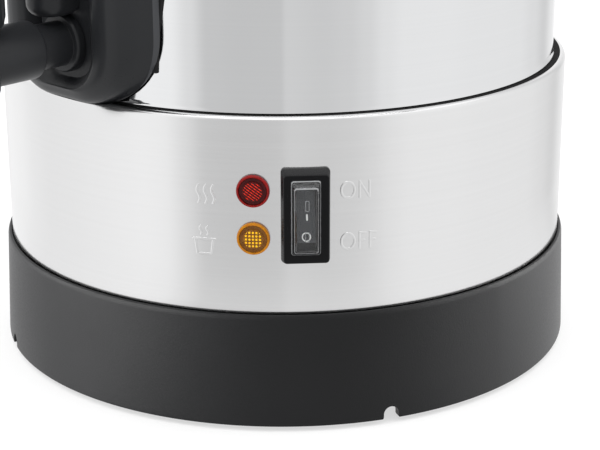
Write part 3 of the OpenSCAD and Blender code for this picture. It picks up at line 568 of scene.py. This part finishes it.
def ridge(path, half, top, place, m=4, closed=False, base=0.0):
    """A rounded bead along a path of (u, v), standing on the surface."""
    sh = Shape()
    n = len(path)
    loops = []
    for i, (u, v) in enumerate(path):
        if closed:
            a, b = path[i - 1], path[(i + 1) % n]
        else:
            a, b = path[max(i - 1, 0)], path[min(i + 1, n - 1)]
        t = Vector((b[0] - a[0], b[1] - a[1])).normalized()
        nn = Vector((-t.y, t.x))
        e = 1.0
        prof = [(half * e, base)] + [(half * e * math.cos(math.pi * k / (2 * m)), top * e * math.sin(math.pi * k / (2 * m))) for k in range(1, 2 * m)] + [(-half * e, base)]
        loops.append([place(u + nn.x * d, v + nn.y * d, h) for d, h in prof])
    if closed:
        return sh.loft(loops, start="join", end="none")
    # round ends
    def endcap(i, sgn):
        a, b = path[i], path[1 if i == 0 else -2]
        t = Vector((a[0] - b[0], a[1] - b[1])).normalized()
        nn = Vector((-t.y, t.x)) * sgn
        out = []
        for q in (0.35, 0.7, 0.94):
            e, f = math.sqrt(1 - q * q), q * half
            prof = [(half * e, base)] + [(half * e * math.cos(math.pi * k / (2 * m)), top * e * math.sin(math.pi * k / (2 * m))) for k in range(1, 2 * m)] + [(-half * e, base)]
            out.append([place(a[0] + t.x * f + nn.x * d, a[1] + t.y * f + nn.y * d, h) for d, h in prof])
        return out

    return sh.loft(list(reversed(endcap(0, -1))) + loops + endcap(-1, 1))


def rock_mark(u, v, h):
    return on_rocker(u, v, face_w(v) - 0.02 + h)


mark_i = ridge([(0.4, -0.36 - 1.7 * i / 6) for i in range(7)], 0.36, 0.10, rock_mark, base=-0.1)
mesh("mark_on", mark_i, white_print, "rocker", None)
mark_o = ridge([(1.45 * math.cos(2 * math.pi * i / 48), -8.05 + 1.45 * math.sin(2 * math.pi * i / 48)) for i in range(48)], 0.25, 0.10, rock_mark, closed=True, base=-0.1)
mesh("mark_off", mark_o, white_print, "rocker", None)

# clear boot over the rocker: a thin shell with rolled edges; the rounded bands at its foot and at its front edge are
# opaque grey, a painted highlight standing for the glints along clear edges
PB = flat(47.6, 117.6, 83.6)
bl = lambda w, h, r, d, e: [PB(u, v - e, d) for u, v in rr(w, h, r, 8)]
outer = [(10.2, 27.5, 1.0, 0.0, 0), (10.6, 27.9, 1.0, 0.12, 0), (10.6, 27.9, 1.0, 0.42, 0), (10.5, 27.7, 1.0, 0.60, 0.02), (10.25, 27.3, 1.0, 0.75, 0.06), (8.8, 24.65, 0.95, 2.60, 0.32), (8.65, 24.3, 0.9, 2.88, 0.35), (8.4, 23.8, 0.9, 3.12, 0.38), (8.0, 23.2, 0.85, 3.25, 0.4)]
inner = [(7.1, 22.2, 0.6, 2.80, 0.4), (7.4, 22.6, 0.65, 2.70, 0.4), (7.6, 23.0, 0.65, 2.50, 0.36), (9.15, 26.1, 0.7, 0.60, 0.05), (9.5, 26.8, 0.7, 0.25, 0), (9.5, 26.8, 0.7, 0.0, 0)]
shell = Shape().loft([bl(*x) for x in outer], start="none", m=[0, 0, 1, 1, 0, 1, 1, 0])
shell.loft([bl(*x) for x in inner], start="ngon", end="none", m=0)
shell.loft([bl(*inner[-1]), bl(*outer[0])], start="none", end="none")
mesh("clear_boot_shell", shell, [M["clear_boot"], boot_edge_painted_highlight], "body", "clear_boot", ["switch_boot"], 30)
# raised loops on the boot, in the opaque grey painted highlight instead of clear
ribs = Shape()
for v0 in (5.45, -6.2):
    path = [(u + 0.25, v0 + v) for u, v in rr(1.25, 3.75, 0.3, 6)]
    r = ridge(path, 0.13, 0.16, lambda u, v, h: PB(u, v, 3.24 + h), 3, True, -0.05)
    ribs.add(r.v, r.f)
mesh("boot_ribs", ribs, boot_edge_painted_highlight, "body", "clear_boot")


def lamp(name, z, body_mat, deep_tone_and_painted_shade, painted_highlight, kind, slot, node):
    pl = radial(38.3, z)
    prof = [(0, -0.35)] + rounded(
        [(6.05, -0.35, 0.1), (6.1, 0.8, 0.3), (5.85, 1.5, 0.3), (5.45, 1.72, 0.25), (5.15, 1.45, 0.2), (4.95, 0.75, 0.25), (3.75, 0.75, 0.2), (3.66, 1.35, 0.1)], 0.2, 5) + [(0, 1.35)]
    n = len(prof)
    # material 1, painted shade, goes on the groove inside the flange and on the lower outer wall
    mi = []
    for i in range(n):
        a, b = prof[i], prof[(i + 1) % n]
        r, w = (a[0] + b[0]) / 2, (a[1] + b[1]) / 2
        mi.append(1 if (3.6 < r < 5.12 and 0 < w < 1.4) or (r > 6.0 and w < 0.7) else 0)
    sh = Shape().lathe([(r, 115 + w) for r, w in prof], 96, mi, place=pl)
    ring = lambda r, w: [pl(r, 2 * math.pi * i / 64, 115 + w) for i in range(64)]
    sh.loft([ring(4.5, -0.3), ring(4.5, -0.6)])
    # patterned face on a square grid bent to a disc; its raised parts take the painted highlight colour and the low
    # ground the painted shade colour
    N, R = 96, 3.62
    pts, hs = [], []
    for i in range(N + 1):
        for j in range(N + 1):
            a, b = 2 * i / N - 1, 2 * j / N - 1
            u, v = R * a * math.sqrt(1 - b * b / 2), R * b * math.sqrt(1 - a * a / 2)
            d = math.hypot(u, v)
            fade = min(1.0, max(0.0, (R - d) / 0.35))
            if kind == "hatch":
                q = (u * math.sin(rad(36)) + v * math.cos(rad(36))) / 0.92
                t = abs((q % 1.0) - 0.5) * 2
                p = (u * math.cos(rad(36)) - v * math.sin(rad(36))) / 1.6
                cross = 0.75 + 0.25 * math.cos(2 * math.pi * p)
                h = 0.36 * max(0.0, 1 - t / 0.62) * cross
            else:
                cu, cv = u / 1.27, v / 1.27
                du, dv = (cu - round(cu)), (cv - round(cv))
                h = 0.42 * max(0.0, 1 - (abs(du) ** 2.4 + abs(dv) ** 2.4) / 0.42**2.4)
            hs.append(h * fade)
            w = 1.52 + 0.22 * (1 - (d / R) ** 2) + h * fade
            if i in (0, N) or j in (0, N):
                w = 1.20
            pts.append(pl(d, math.atan2(v, u), 115 + w))
    f, m = [], []
    top = 0.36 if kind == "hatch" else 0.42
    for i in range(N):
        for j in range(N):
            k = i * (N + 1) + j
            q = (k, k + N + 1, k + N + 2, k + 1)
            f.append(q)
            # raised faces take material 2, painted highlight; low ones take material 1, painted shade
            mean = sum(hs[x] for x in q) / 4
            m.append(2 if mean > 0.42 * top else 1)
    edge = [i * (N + 1) for i in range(N)] + [N * (N + 1) + j for j in range(N)] + [(N - i) * (N + 1) + N for i in range(N)] + [N - j for j in range(N)]
    f.append(tuple(edge))
    m.append(1)
    sh.add(pts, f, m)
    mesh(name, sh, [body_mat, deep_tone_and_painted_shade, painted_highlight], "body", slot, [node], 38)


# bright copy of the red lens for the raised hatch: painted highlight
red_lens_painted_highlight = lens("red_lens_painted_highlight", (0.80, 0.034, 0.014), (0.68, 0.022, 0.010), 0.10)
lamp("lamp_red", 93.0, M["red_lens"], red_lens_painted_shade, red_lens_painted_highlight, "hatch", "red_lens", "lamp_lens_red")
lamp("lamp_amber", 75.1, M["amber_lens"], amber_lens_painted_shade, amber_lens_painted_highlight, "grid", "amber_lens", "lamp_lens_amber")

# raised marks pressed into the skirt: state words beside the switch, plain pictograms beside the lamps
Z0 = 44.0  # angle that the marks are measured from
SK = wrap(Z0, 115, 0)


def oval(cx, cy, rx, ry, n=40):
    return [(cx + rx * math.cos(2 * math.pi * i / n), cy + ry * math.sin(2 * math.pi * i / n)) for i in range(n)]


def line(p, q, n=10):
    return [(p[0] + (q[0] - p[0]) * i / n, p[1] + (q[1] - p[1]) * i / n) for i in range(n + 1)]


def poly(pts, n=8):
    out = []
    for a, b in zip(pts, pts[1:]):
        out += line(a, b, n)[:-1]
    return out + [pts[-1]]


marks = Shape()


def stroke(path, closed=False, half=0.52, top=0.34):
    r = ridge(path, half, top, lambda u, v, h: SK(u, v, h), 4, closed, -0.15)
    marks.add(r.v, r.f)


def letter(ch, u, z, w, h):
    if ch == "O":
        stroke(oval(u + w / 2, z + h / 2, w / 2, h / 2), True)
    elif ch == "N":
        stroke(line((u, z), (u, z + h)))
        stroke(line((u + w, z), (u + w, z + h)))
        stroke(line((u, z + h), (u + w, z)))
    elif ch == "F":
        stroke(line((u, z), (u, z + h)))
        stroke(line((u, z + h), (u + w, z + h)))
        stroke(line((u, z + h * 0.52), (u + w * 0.82, z + h * 0.52)))


letter("O", 20.2, 89.6, 4.9, 5.9)
letter("N", 27.0, 89.6, 3.6, 5.9)
letter("O", 20.3, 70.2, 4.9, 5.9)
letter("F", 27.0, 70.2, 2.3, 5.9)
letter("F", 31.0, 70.2, 2.3, 5.9)
for k in range(3):  # three rising waves
    stroke([(-31.5 + 2.7 * k + 0.55 * math.sin(2 * math.pi * i / 20), 87.6 + 6.6 * i / 20) for i in range(21)])
# a cup with two wisps
stroke(poly([(-33.0, 73.6), (-32.3, 68.2), (-27.0, 68.2), (-26.3, 73.6)], 8))
stroke(line((-33.9, 73.9), (-25.4, 73.9)))
for k in range(2):
    stroke([(-30.9 + 2.5 * k + 0.4 * math.sin(2 * math.pi * i / 14), 75.5 + 3.2 * i / 14) for i in range(15)], half=0.45)
mesh("skirt_marks", marks, M["skirt_steel"], "body", "skirt_steel", (), 50)

# ------------------------------------------------------------------ tap and gauge housing


def rr_pos(w, z0, z1, r, n):
    """Rounded outline in (x, z), with n points to a corner and even points on the sides."""
    return resample([(x, z + (z0 + z1) / 2) for x, z in rr(2 * w, z1 - z0, r, 14)], n)


def out_loop(w, z0, z1, r):
    """Outline with matching points at any offset: straight sides and corners keep their share."""
    pts = []
    cx, cz0, cz1 = w - r, z0 + r, z1 - r
    S, B, C = 40, 10, 14
    seq = []
    for (sx, cz, a0) in ((1, cz0, -90), (1, cz1, 0), (-1, cz1, 90), (-1, cz0, 180)):
        corner = [(sx * cx + r * math.cos(rad(a0 + 90 * i / C)), cz + r * math.sin(rad(a0 + 90 * i / C)), math.cos(rad(a0 + 90 * i / C)), math.sin(rad(a0 + 90 * i / C))) for i in range(C + 1)]
        seq.append(corner)
    for k in range(4):
        pts += seq[k]
        e, s = seq[k][-1], seq[(k + 1) % 4][0]
        m = S if k in (0, 2) else B
        for i in range(1, m):
            t = i / m
            pts.append((e[0] + (s[0] - e[0]) * t, e[1] + (s[1] - e[1]) * t, e[2], e[3]))
    return pts


HW, HZ0, HZ1 = 39.5, 118.9, 330.0
# slices parallel to the front: distance from the axis, inset at the sides, inset at the ends
CROWN = [(105.6, 0, 0)] + spline([(107, 0, 0), (108.5, 1.05, 0), (110, 2.1, 0), (111.9, 3.5, 0), (113.3, 4.7, 0), (114.6, 6.0, 0), (115.4, 6.9, 0.35), (116.4, 8.1, 0.9), (117.3, 9.5, 1.8), (118.0, 10.8, 2.9), (118.6, 12.2, 4.0), (119.2, 15.0, 5.0)], 3)
# slices of the channel: distance from the axis, half width, inset at the ends
CHANNEL = spline([(119.28, 21.7, 5.10), (119.1, 20.8, 5.22), (118.7, 19.8, 5.45), (117.9, 18.3, 6.1), (116.6, 16.8, 7.0), (115.0, 15.5, 7.9), (113.4, 14.6, 8.6), (112.9, 14.3, 8.9)], 3)


def back_r(z):
    """Clearance radius over the skirt's shoulder, the seam and the tank."""
    if z < 117.87:
        return 115.4
    if z < 120.22:
        return max(111.85, 113.0 + math.sqrt(max(0.0, 2.35**2 - (z - 117.87) ** 2)))
    return 111.85 if z < 128.0 else 111.25


def on_back(x, z):
    return math.sqrt(max(back_r(z) ** 2 - x * x, 1.0))


def on_floor(x):
    return math.sqrt(114.2**2 - x * x)


wall = [(x, -on_back(x, z), z) for x, z, _, _ in out_loop(HW, HZ0, HZ1, 27)]
loops = [wall]
for i, (y, a, b) in enumerate(CROWN):
    b = max(b, 0.0)
    loops.append([(x, -max(y, on_back(x, z) + 0.012 * (i + 1)), z) for x, z, _, _ in out_loop(HW - a, HZ0 + b, HZ1 - b, 27 - (a + b) / 2)])
for i, (y, w, e) in enumerate(CHANNEL):
    loops.append([(x, -max(y, on_floor(x) + 0.012 * (len(CHANNEL) - i)), z) for x, z, _, _ in out_loop(w, HZ0 + e, HZ1 - e, 11 + (w - 14.2) * 0.75)])
for q in (0.5, 1.2, 2.5, 4.5, 7, 9.5, 12, 13.6):
    loops.append([(x, -on_floor(x), z) for x, z, _, _ in out_loop(14.3 - q, HZ0 + 8.9 + q, HZ1 - 8.9 - q, max(11 - q, 0.3))])
# the first two strips, the side wall all round, take the lighter copy: painted light
hs = Shape().loft(loops, start="none", end="ngon", m=[1, 1] + [0] * (len(loops) - 3))
back = [wall]
for q in (1.2, 4, 9.3, 14, 20, 26, 32, 38.8):
    back.append([(x, -on_back(x, z), z) for x, z, _, _ in out_loop(HW - q, HZ0 + q, HZ1 - q, max(27 - q, 0.3))])
hs.loft(back, start="none", end="ngon")
housing = raw("tap_gauge_housing", hs, [M["tap_plastic"], tap_wall_painted_light], 30)
boolean(housing, [cyl("c", (0, -105, 140), (0, -125, 140), 8.5, 72), cyl("c", (0, -105, 160), (0, -125, 160), 4.1, 48), cyl("c", (0, -105, 309), (0, -125, 309), 2.2, 40)], smooth=30)
put(housing, "body", "tap_plastic", "tap_housing")

# shank with its round boss
shank = rounded([(5.2, 92, 0.3), (8.3, 92, 0.5), (8.3, 114.25, 0), (10.8, 114.25, 0.15), (10.8, 116.7, 0.9), (10.2, 117.65, 0.3), (8.3, 117.65, 0.2), (8.3, 145.5, 0.2), (5.2, 145.5, 0.2)], 0.3, 6)
mesh("tap_shank_tube", Shape().lathe(shank, 96, place=radial(0, 140)), M["tap_plastic"], "body", "tap_plastic", ["tap_shank"], 40)

# tap body: barrel, spout and side branch
BY = 162.0
up = lambda r, t, z: (r * math.cos(t), -BY + r * math.sin(t), z)
barrel = [(0, 106)] + rounded([(7.6, 106, 0.5), (8.5, 107, 0.5), (9, 126, 2.0), (12.5, 128, 1.5), (14, 130, 1.2), (14, 164, 0.3)], 0.5, 6) + [(0, 164)]
bar = raw("tap_barrel", Shape().lathe(barrel, 128, place=up), [M["tap_plastic"]], 40)
branch = raw("c", Shape().lathe([(0, 131)] + rounded([(10.0, 131, 0.4), (10.6, 131.6, 0.5), (10.6, 158, 0)], 0.4, 5) + [(0, 158)], 96, place=radial(0, 140)), [M["tap_plastic"]])
boolean(bar, [branch], "UNION", 40)
boolean(bar, [cyl("c", (0, -BY, 100), (0, -BY, 140), 6.0), cyl("c", (0, -BY, 134), (0, -BY, 170), 9.5, 96), cyl("c", (0, -130, 140), (0, -145.5, 140), 8.33, 96), cyl("c", (0, -131, 140), (0, -162, 140), 5.2)], smooth=40)
put(bar, "body", "tap_plastic", "tap_body")

# valve spring: five turns of round wire; the real spring shortens towards the bonnet as the stem rises, but this mesh
# is drawn at one length
loops = []
for i in range(241):
    a = 10 * math.pi * i / 240
    c, s = math.cos(a), math.sin(a)
    n, t = Vector((c, s, 0)), Vector((-6 * s, 6 * c, 21.4 / (10 * math.pi))).normalized()
    b = t.cross(n)
    o = Vector((6 * c, -BY + 6 * s, 141.9 + 21.4 * i / 240))
    loops.append([tuple(o + 0.6 * (math.cos(2 * math.pi * k / 14) * n + math.sin(2 * math.pi * k / 14) * b)) for k in range(14)])
coil = mesh("tap_coil_spring", Shape().loft(loops), M["spring_steel"], "body", "spring_steel", ["tap_spring"], 60)
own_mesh(coil)

# bonnet: a ribbed screw cap with two ears for the lever's pin
cap_prof = rounded([(14.1, 153, 0.2), (15.7, 153, 0.4), (16.5, 153.9, 0.5), (16.5, 170.3, 1.2), (14.8, 172, 0.9), (2.8, 172, 0.4), (2.8, 164, 0.2), (14.1, 164, 0.2)], 0.4, 5)
dense = []
for a, b in zip(cap_prof, cap_prof[1:] + cap_prof[:1]):
    dense.append(a)
    if abs(a[0] - 16.5) < 0.02 and abs(b[0] - 16.5) < 0.02:
        dense += [(16.5, a[1] + (b[1] - a[1]) * i / 16) for i in range(1, 16)]


def grip(a, r, z):
    if r < 16.2:
        return 0.0
    e = min(1.0, max(0.0, (z - 154.6) / 1.0)) * min(1.0, max(0.0, (168.6 - z) / 1.6))
    return 0.68 * e * max(0.0, math.cos(18 * a)) ** 1.6


bon = Shape().lathe(dense, 360, place=up, ripple=grip)
PY, PZ = 171.5, 179.0
for s in (-1, 1):
    prof = [(-4.5, 170.2)] + [(4.5 * math.cos(rad(180 - 180 * i / 28)), PZ + 4.5 * math.sin(rad(180 - 180 * i / 28))) for i in range(29)] + [(4.5, 170.2)]
    ins = lambda q: [(max(abs(v) - q, 0) * (1 if v > 0 else -1), w - (q if w > PZ else 0) * max(0.0, (w - PZ) / 4.5)) for v, w in prof]
    e = [[(s * 6.8 + d, -PY + v, w) for v, w in ins(q)] for d, q in ((-1.5, 0.35), (-1.38, 0.1), (-1.15, 0.0), (1.15, 0.0), (1.38, 0.1), (1.5, 0.35))]
    bon.loft(e)
mesh("tap_bonnet_cap", bon, M["tap_plastic"], "body", "tap_plastic", ["tap_bonnet"], 38)

# lever: forked hub and a dished paddle that rises away from the tap
lev = Shape()
hub = lambda u, r: [(u, -PY + r * math.cos(2 * math.pi * i / 56), PZ + r * math.sin(2 * math.pi * i / 56)) for i in range(56)]
lev.loft([hub(u, r) for u, r in ((-5, 4.0), (-4.85, 4.25), (-4.6, 4.4), (4.6, 4.4), (4.85, 4.25), (5, 4.0))])
for s in (-1, 1):
    fork = rounded([(0, -4, 0.2), (14.2, -4, 1.6), (15, -2.9, 0.8), (15, 2.9, 0.8), (14.2, 4, 1.6), (0, 4, 0.2)], 0.5, 5)
    lev.loft([[(s * 4 + d, -PY + v, PZ + w * k) for v, w in fork] for d, k in ((-1, 0.94), (-0.85, 1.0), (0.85, 1.0), (1, 0.94))])
c20, s20 = math.cos(rad(20)), math.sin(rad(20))
stations = [1.0, 2.5, 4.5, 6.5, 8.5, 10.0, 11.5, 13.0, 14.5, 16.5, 20, 25, 30, 35, 40, 44, 47, 49, 50.8, 52.2, 53.3, 54.1, 54.6, 54.9]
loops = []
for d in stations:
    if d <= 8.5:
        w = 4.9
    elif d < 15:
        t = (d - 8.5) / 6.5
        w = 4.9 + 4.1 * t * t * (3 - 2 * t)
    elif d <= 46:
        w = 9.0
    else:
        w = math.sqrt(max(81 - (d - 46) ** 2, 0.0))
    tip = min(1.0, max(0.0, (55 - d) / 2.6))
    th = 3.3 * math.sqrt(1 - (1 - tip) ** 2) if tip < 1 else 3.3
    th = max(th, 0.5)
    w = max(w, 0.9)
    dish = 0.95 * max(0.0, 1 - ((d - 35) / 17.0) ** 2) if 18 < d < 52 else 0.0
    loop = []
    for i in range(48):
        a = 2 * math.pi * i / 48
        ca, sa = math.cos(a), math.sin(a)
        x = w * math.copysign(abs(ca) ** 0.42, ca)
        h = th * math.copysign(abs(sa) ** 0.42, sa)
        if h > 0:
            h -= dish * max(0.0, 1 - (x / max(w, 1e-3)) ** 2)
        loop.append((x, -PY - d * c20 + h * s20 * -1, PZ + d * s20 + h * c20))
    loops.append(loop)
lev.loft(loops)
mesh("tap_lever_paddle", lev, M["tap_plastic"], "tap_lever", "tap_plastic", ["tap_lever"], 38)

# gauge caps: blocks with a round front that hold the tube's ends
TY = 121.0


def cap_outline(q, n=72):
    r = 8.5 - q
    pts = []
    for i in range(n):
        a = rad(360 * i / n)
        dx, dy = math.cos(a), math.sin(a)
        if dy <= 0:
            pts.append((r * dx, r * dy))
        else:
            k = min(r / max(abs(dx), 1e-6), (6.95 - q) / max(dy, 1e-6))
            pts.append((k * dx, k * dy))
    return pts


def gauge_cap(name, z0, z1, mouth, edge, node):
    """mouth is +1 where the tube leaves upwards and -1 where it leaves downwards."""
    o = lambda q, z: [(x, -TY + y, z) for x, y in cap_outline(q)]
    c = lambda r, z: [(r * math.cos(rad(5 * i)), -TY + r * math.sin(rad(5 * i)), z) for i in range(72)]
    a, b = (z0, z1) if mouth > 0 else (z1, z0)
    s = 1 if mouth > 0 else -1
    loops = [o(edge * (1 - math.sin(rad(9 * i))), a + s * edge * (1 - math.cos(rad(9 * i)))) for i in range(11)] + [o(0, b - s * 1.2), o(0.15, b - s * 0.6), o(0.5, b - s * 0.2), o(0.9, b), c(6.9, b), c(6.65, b - s * 0.2), c(6.6, b - s * 4), c(5.08, b - s * 4), c(5.08, b - s * 10)]
    sh = Shape().loft(loops)
    mesh(name, sh, M["tap_plastic"], "body", "tap_plastic", [node], 38)


gauge_cap("gauge_cap_low", 151, 174, 1, 4.5, "gauge_lower_cap")
gauge_cap("gauge_cap_high", 297, 319, -1, 2.0, "gauge_upper_cap")
tube = rounded([(3.6, 164, 0.3), (5, 164, 0.4), (5, 304.8, 0.4), (3.6, 304.8, 0.3)], 0.3, 4)
mesh("gauge_tube_glass", Shape().lathe(tube, 96, place=lambda r, t, z: (r * math.cos(t), -TY + r * math.sin(t), z)), M["gauge_glass"], "body", "gauge_glass", ["gauge_tube"], 40)

# ------------------------------------------------------------------ handles and lid


def handle(name, sgn, node):
    """One bent bar: flared feet on the tank, arms, bends and a fuller grip."""
    path = []
    for i in range(24):
        path.append((102.0 + (135.0 - 102.0) * i / 24, -40.0))
    for i in range(25):
        a = rad(-90 + 90 * i / 24)
        path.append((135 + 13 * math.cos(a), -27 + 13 * math.sin(a)))
    for i in range(1, 36):
        path.append((148.0, -27 + 54.0 * i / 36))
    path += [(x, -y) for x, y in reversed(path[:49])]
    loops = []
    n = len(path)
    for k, (x, y) in enumerate(path):
        a, b = path[max(k - 1, 0)], path[min(k + 1, n - 1)]
        t = Vector((b[0] - a[0], b[1] - a[1])).normalized()
        s = Vector((t.y, -t.x))
        foot = max(0.0, 1 - max(0.0, (x - 106.5)) / 7.5) if abs(abs(y) - 40) < 0.01 else 0.0
        foot = foot * foot * (3 - 2 * foot)
        r = 8.5 + 3.5 * foot
        if abs(y) < 24:
            e = min(1.0, (24 - abs(y)) / 5.0)
            r = 8.5 + 1.0 * e * e * (3 - 2 * e)
        loop = []
        for i in range(64):
            q = 2 * math.pi * i / 64
            px, py, pz = x + s.x * r * math.cos(q), y + s.y * r * math.cos(q), 306 + r * math.sin(q)
            if k in (0, n - 1):
                px = math.sqrt(110.05**2 - py * py)
            elif abs(abs(y) - 40) < 0.01:
                px = max(px, math.sqrt(110.05**2 - py * py) + 0.02 * min(k, n - 1 - k))
            loop.append((sgn * px, py, pz))
        loops.append(loop)
    mesh(name, Shape().loft(loops), M["handle_plastic"], "body", "handle_plastic", [node], 45)


handle("handle_bar_right", 1, "handle_right")
handle("handle_bar_left", -1, "handle_left")

RZ = 372.8
top = spline([(112.3, 1.0), (109.5, 1.02), (106.5, 1.25), (103.2, 2.6), (100, 4.2), (90, 7.8), (75, 11.8), (60, 14.8), (40, 17.6), (20, 19.1), (3, 19.5)], 6)
low = spline([(3, 18.5), (20, 18.1), (40, 16.6), (60, 13.8), (75, 10.8), (90, 6.7), (99.6, 3.2), (103.0, 1.5), (105.5, 0.3), (106.4, -0.3)], 6)
lid_prof = [(106.4, -6.5), (106.7, -6.8), (107.1, -6.8), (107.4, -6.5), (107.4, -0.2), (107.7, 0.0), (112.7, 0.0), (113.05, 0.25), (113.1, 0.5), (113.05, 0.78), (112.75, 0.98)] + top + low
lid = raw("lid_dome", Shape().lathe([(r, RZ + z) for r, z in lid_prof], 384), [M["lid_steel"]], 40)
boolean(lid, [cyl("c", (58, 0, 375), (58, 0, 400), 2.2, 48)], smooth=40)
put(lid, "lid", "lid_steel", *[n for n in ("lid_shell", "lid_collar") if n in NODES])
kn = spline([(14.4, 0.1), (15.0, 0.8), (14.3, 2.6), (13.2, 5.2), (12.3, 9.5), (12.6, 14), (15.3, 18), (19.8, 21.2), (23.1, 24), (24, 27), (23, 30), (20, 32.2), (14, 33.8), (7, 34.5), (0.0, 34.7)], 6)
knob_prof = [(2.1, 0), (13.8, 0)] + [(max(r, 0.0), z) for r, z in kn] + [(0, 18.4), (2.1, 18.4)]
mesh("lid_knob_grip", Shape().lathe([(r, 392.3 + z) for r, z in knob_prof], 128), M["handle_plastic"], "lid", "handle_plastic", ["lid_knob"], 45)

# ------------------------------------------------------------------ stage, light and camera


fl = bpy.data.meshes.new("floor")
S = 6.0
fl.from_pydata([(-S, -S, 0), (S, -S, 0), (S, S, 0), (-S, S, 0)], [], [(0, 1, 2, 3)])
paper = Mat("floor_paper").set(Base_Color=(0.34, 0.34, 0.34, 1), Roughness=0.6, Specular_IOR_Level=0.2, Emission_Color=(1, 1, 1, 1), Emission_Strength=0.57)
fl.materials.append(paper.m)  # pale paper with light behind it
floor = bpy.data.objects.new("floor", fl)
scene.collection.objects.link(floor)

world = bpy.data.worlds.new("studio")
scene.world = world
world.use_nodes = True
bg = world.node_tree.nodes["Background"]
bg.inputs[0].default_value = (1, 1, 1, 1)
bg.inputs[1].default_value = 1.0

CAM_AZ = 44.0

# light tent that only polished surfaces see: soft bright and grey panels around the object
TENT = [(-75, 0.97), (-64, 1.0), (-52, 1.03), (-45, 1.05), (-37, 1.03), (-30, 0.86), (-24, 0.68), (-14, 0.66), (-1.2, 0.665), (0.6, 0.75), (12, 0.72), (20, 0.75), (26, 0.81), (32, 0.91), (39, 0.965),
        (54, 0.97), (68, 0.952), (80, 0.945), (92, 0.93), (104, 0.86), (116, 0.74), (128, 0.90), (142, 1.02), (158, 1.04), (172, 0.95), (184, 0.74), (196, 0.66), (208, 0.70), (220, 0.90), (234, 1.03),
        (250, 1.04), (262, 0.98), (272, 0.95), (279, 0.96), (285, 0.97)]
# share of full light in the upper part of its front and right side
UPPER = [(-75, 0.0), (-60, 1.0), (106, 1.0), (126, 0.0), (285, 0.0)]


def level(table, a):
    a = (a - table[0][0]) % 360 + table[0][0]
    for (p, u), (q, v) in zip(table, table[1:]):
        if p <= a <= q:
            t = (a - p) / (q - p)
            return u + (v - u) * t * t * (3 - 2 * t)
    return 1.0


K, TR, TH = 720, 0.262, 0.62
# radius, height, share of the side's level and of its upper light: the wall, then the floor, which is more even
RINGS = [(TR, TH, 1.0, 0.5), (TR, 0.50, 1.0, 1.0), (TR, 0.39, 1.0, 1.0), (TR, 0.30, 1.0, 0.0), (TR, 0.0012, 1.0, 0.0), (TR, 0.0012, 0.7, 0.0), (0.05, 0.0012, 0.7, 0.0)]
tm = bpy.data.meshes.new("tent")
tm.from_pydata(
    [(r * math.sin(rad(CAM_AZ + 360 * i / K)), OY - r * math.cos(rad(CAM_AZ + 360 * i / K)), z) for r, z, _, _ in RINGS for i in range(K)], [],
    [(b * K + i, b * K + (i + 1) % K, (b + 1) * K + (i + 1) % K, (b + 1) * K + i) for b in (0, 1, 2, 3, 5) for i in range(K)])
ca = tm.color_attributes.new("level", "FLOAT_COLOR", "POINT")
for b, (_, _, k, q) in enumerate(RINGS):
    for i in range(K):
        v = level(TENT, 360 * i / K) * k + 0.97 * (1 - k)
        v += (1.24 - v) * level(UPPER, 360 * i / K) * q
        ca.data[b * K + i].color = (v, v, v * 1.004, 1)
mt = bpy.data.materials.new("tent_cloth")
mt.use_nodes = True
for n in list(mt.node_tree.nodes):
    if n.type == "BSDF_PRINCIPLED":
        mt.node_tree.nodes.remove(n)
em = mt.node_tree.nodes.new("ShaderNodeEmission")
at = mt.node_tree.nodes.new("ShaderNodeVertexColor")
at.layer_name = "level"
mt.node_tree.links.new(at.outputs["Color"], em.inputs["Color"])
mt.node_tree.links.new(em.outputs[0], next(n for n in mt.node_tree.nodes if n.type == "OUTPUT_MATERIAL").inputs[0])
mt.cycles.emission_sampling = "NONE"
tm.materials.append(mt)
tent = bpy.data.objects.new("tent", tm)
scene.collection.objects.link(tent)
tent.visible_camera = tent.visible_diffuse = tent.visible_transmission = tent.visible_shadow = tent.visible_volume_scatter = False


def area(name, az, el, dist, size, power, target=(0, 0, 0.15), col=(1, 1, 1)):
    li = bpy.data.lights.new(name, "AREA")
    li.shape = "RECTANGLE"
    li.size, li.size_y = size
    li.energy = power
    li.color = col
    o = bpy.data.objects.new(name, li)
    scene.collection.objects.link(o)
    a = rad(az + CAM_AZ)
    t = Vector((target[0], target[1] + OY, target[2]))
    back = Vector((math.sin(a) * math.cos(rad(el)), -math.cos(a) * math.cos(rad(el)), math.sin(rad(el))))
    o.location = t + back * dist
    o.rotation_mode = "QUATERNION"
    o.rotation_quaternion = (-back).to_track_quat("-Z", "Y")
    o.visible_camera = False
    return o


area("key_left", -70, 35, 1.6, (1.3, 1.3), 10)
area("key_right", 75, 35, 1.6, (1.3, 1.3), 8)
area("top", 0, 90, 1.2, (2.2, 2.2), 21)
# low strips at either side that graze the base only
low = bpy.data.collections.new("grazed")
low.objects.link(base)
for side_light in (area("strip_left", -72, 8, 1.2, (1.0, 0.6), 60), area("strip_right", 101, 8, 1.2, (1.0, 0.6), 66)):
    side_light.light_linking.receiver_collection = low

cam = bpy.data.cameras.new("camera")
cam.sensor_fit, cam.sensor_width, cam.lens = "HORIZONTAL", 36.0, 1730.4 / 600 * 36
cam.clip_start, cam.clip_end = 0.01, 50
co = bpy.data.objects.new("camera", cam)
scene.collection.objects.link(co)
yaw, pitch, roll = 0.0090, 0.3340, -0.0027
fw = Vector((math.sin(yaw) * math.cos(pitch), math.cos(yaw) * math.cos(pitch), -math.sin(pitch)))
rt = Vector((math.cos(yaw), -math.sin(yaw), 0))
upv = rt.cross(fw)
r2 = rt * math.cos(roll) + upv * math.sin(roll)
u2 = -rt * math.sin(roll) + upv * math.cos(roll)
turn = Matrix.Rotation(rad(CAM_AZ), 3, "Z")
basis = Matrix((turn @ r2, turn @ u2, turn @ -fw)).transposed()
pos = turn @ Vector((0, -0.70035, 0.28129)) + Vector((0, OY, 0.002))
co.matrix_world = Matrix.Translation(pos) @ basis.to_4x4()
scene.camera = co
scene.view_settings.view_transform = "Standard"
scene.view_settings.look = "None"
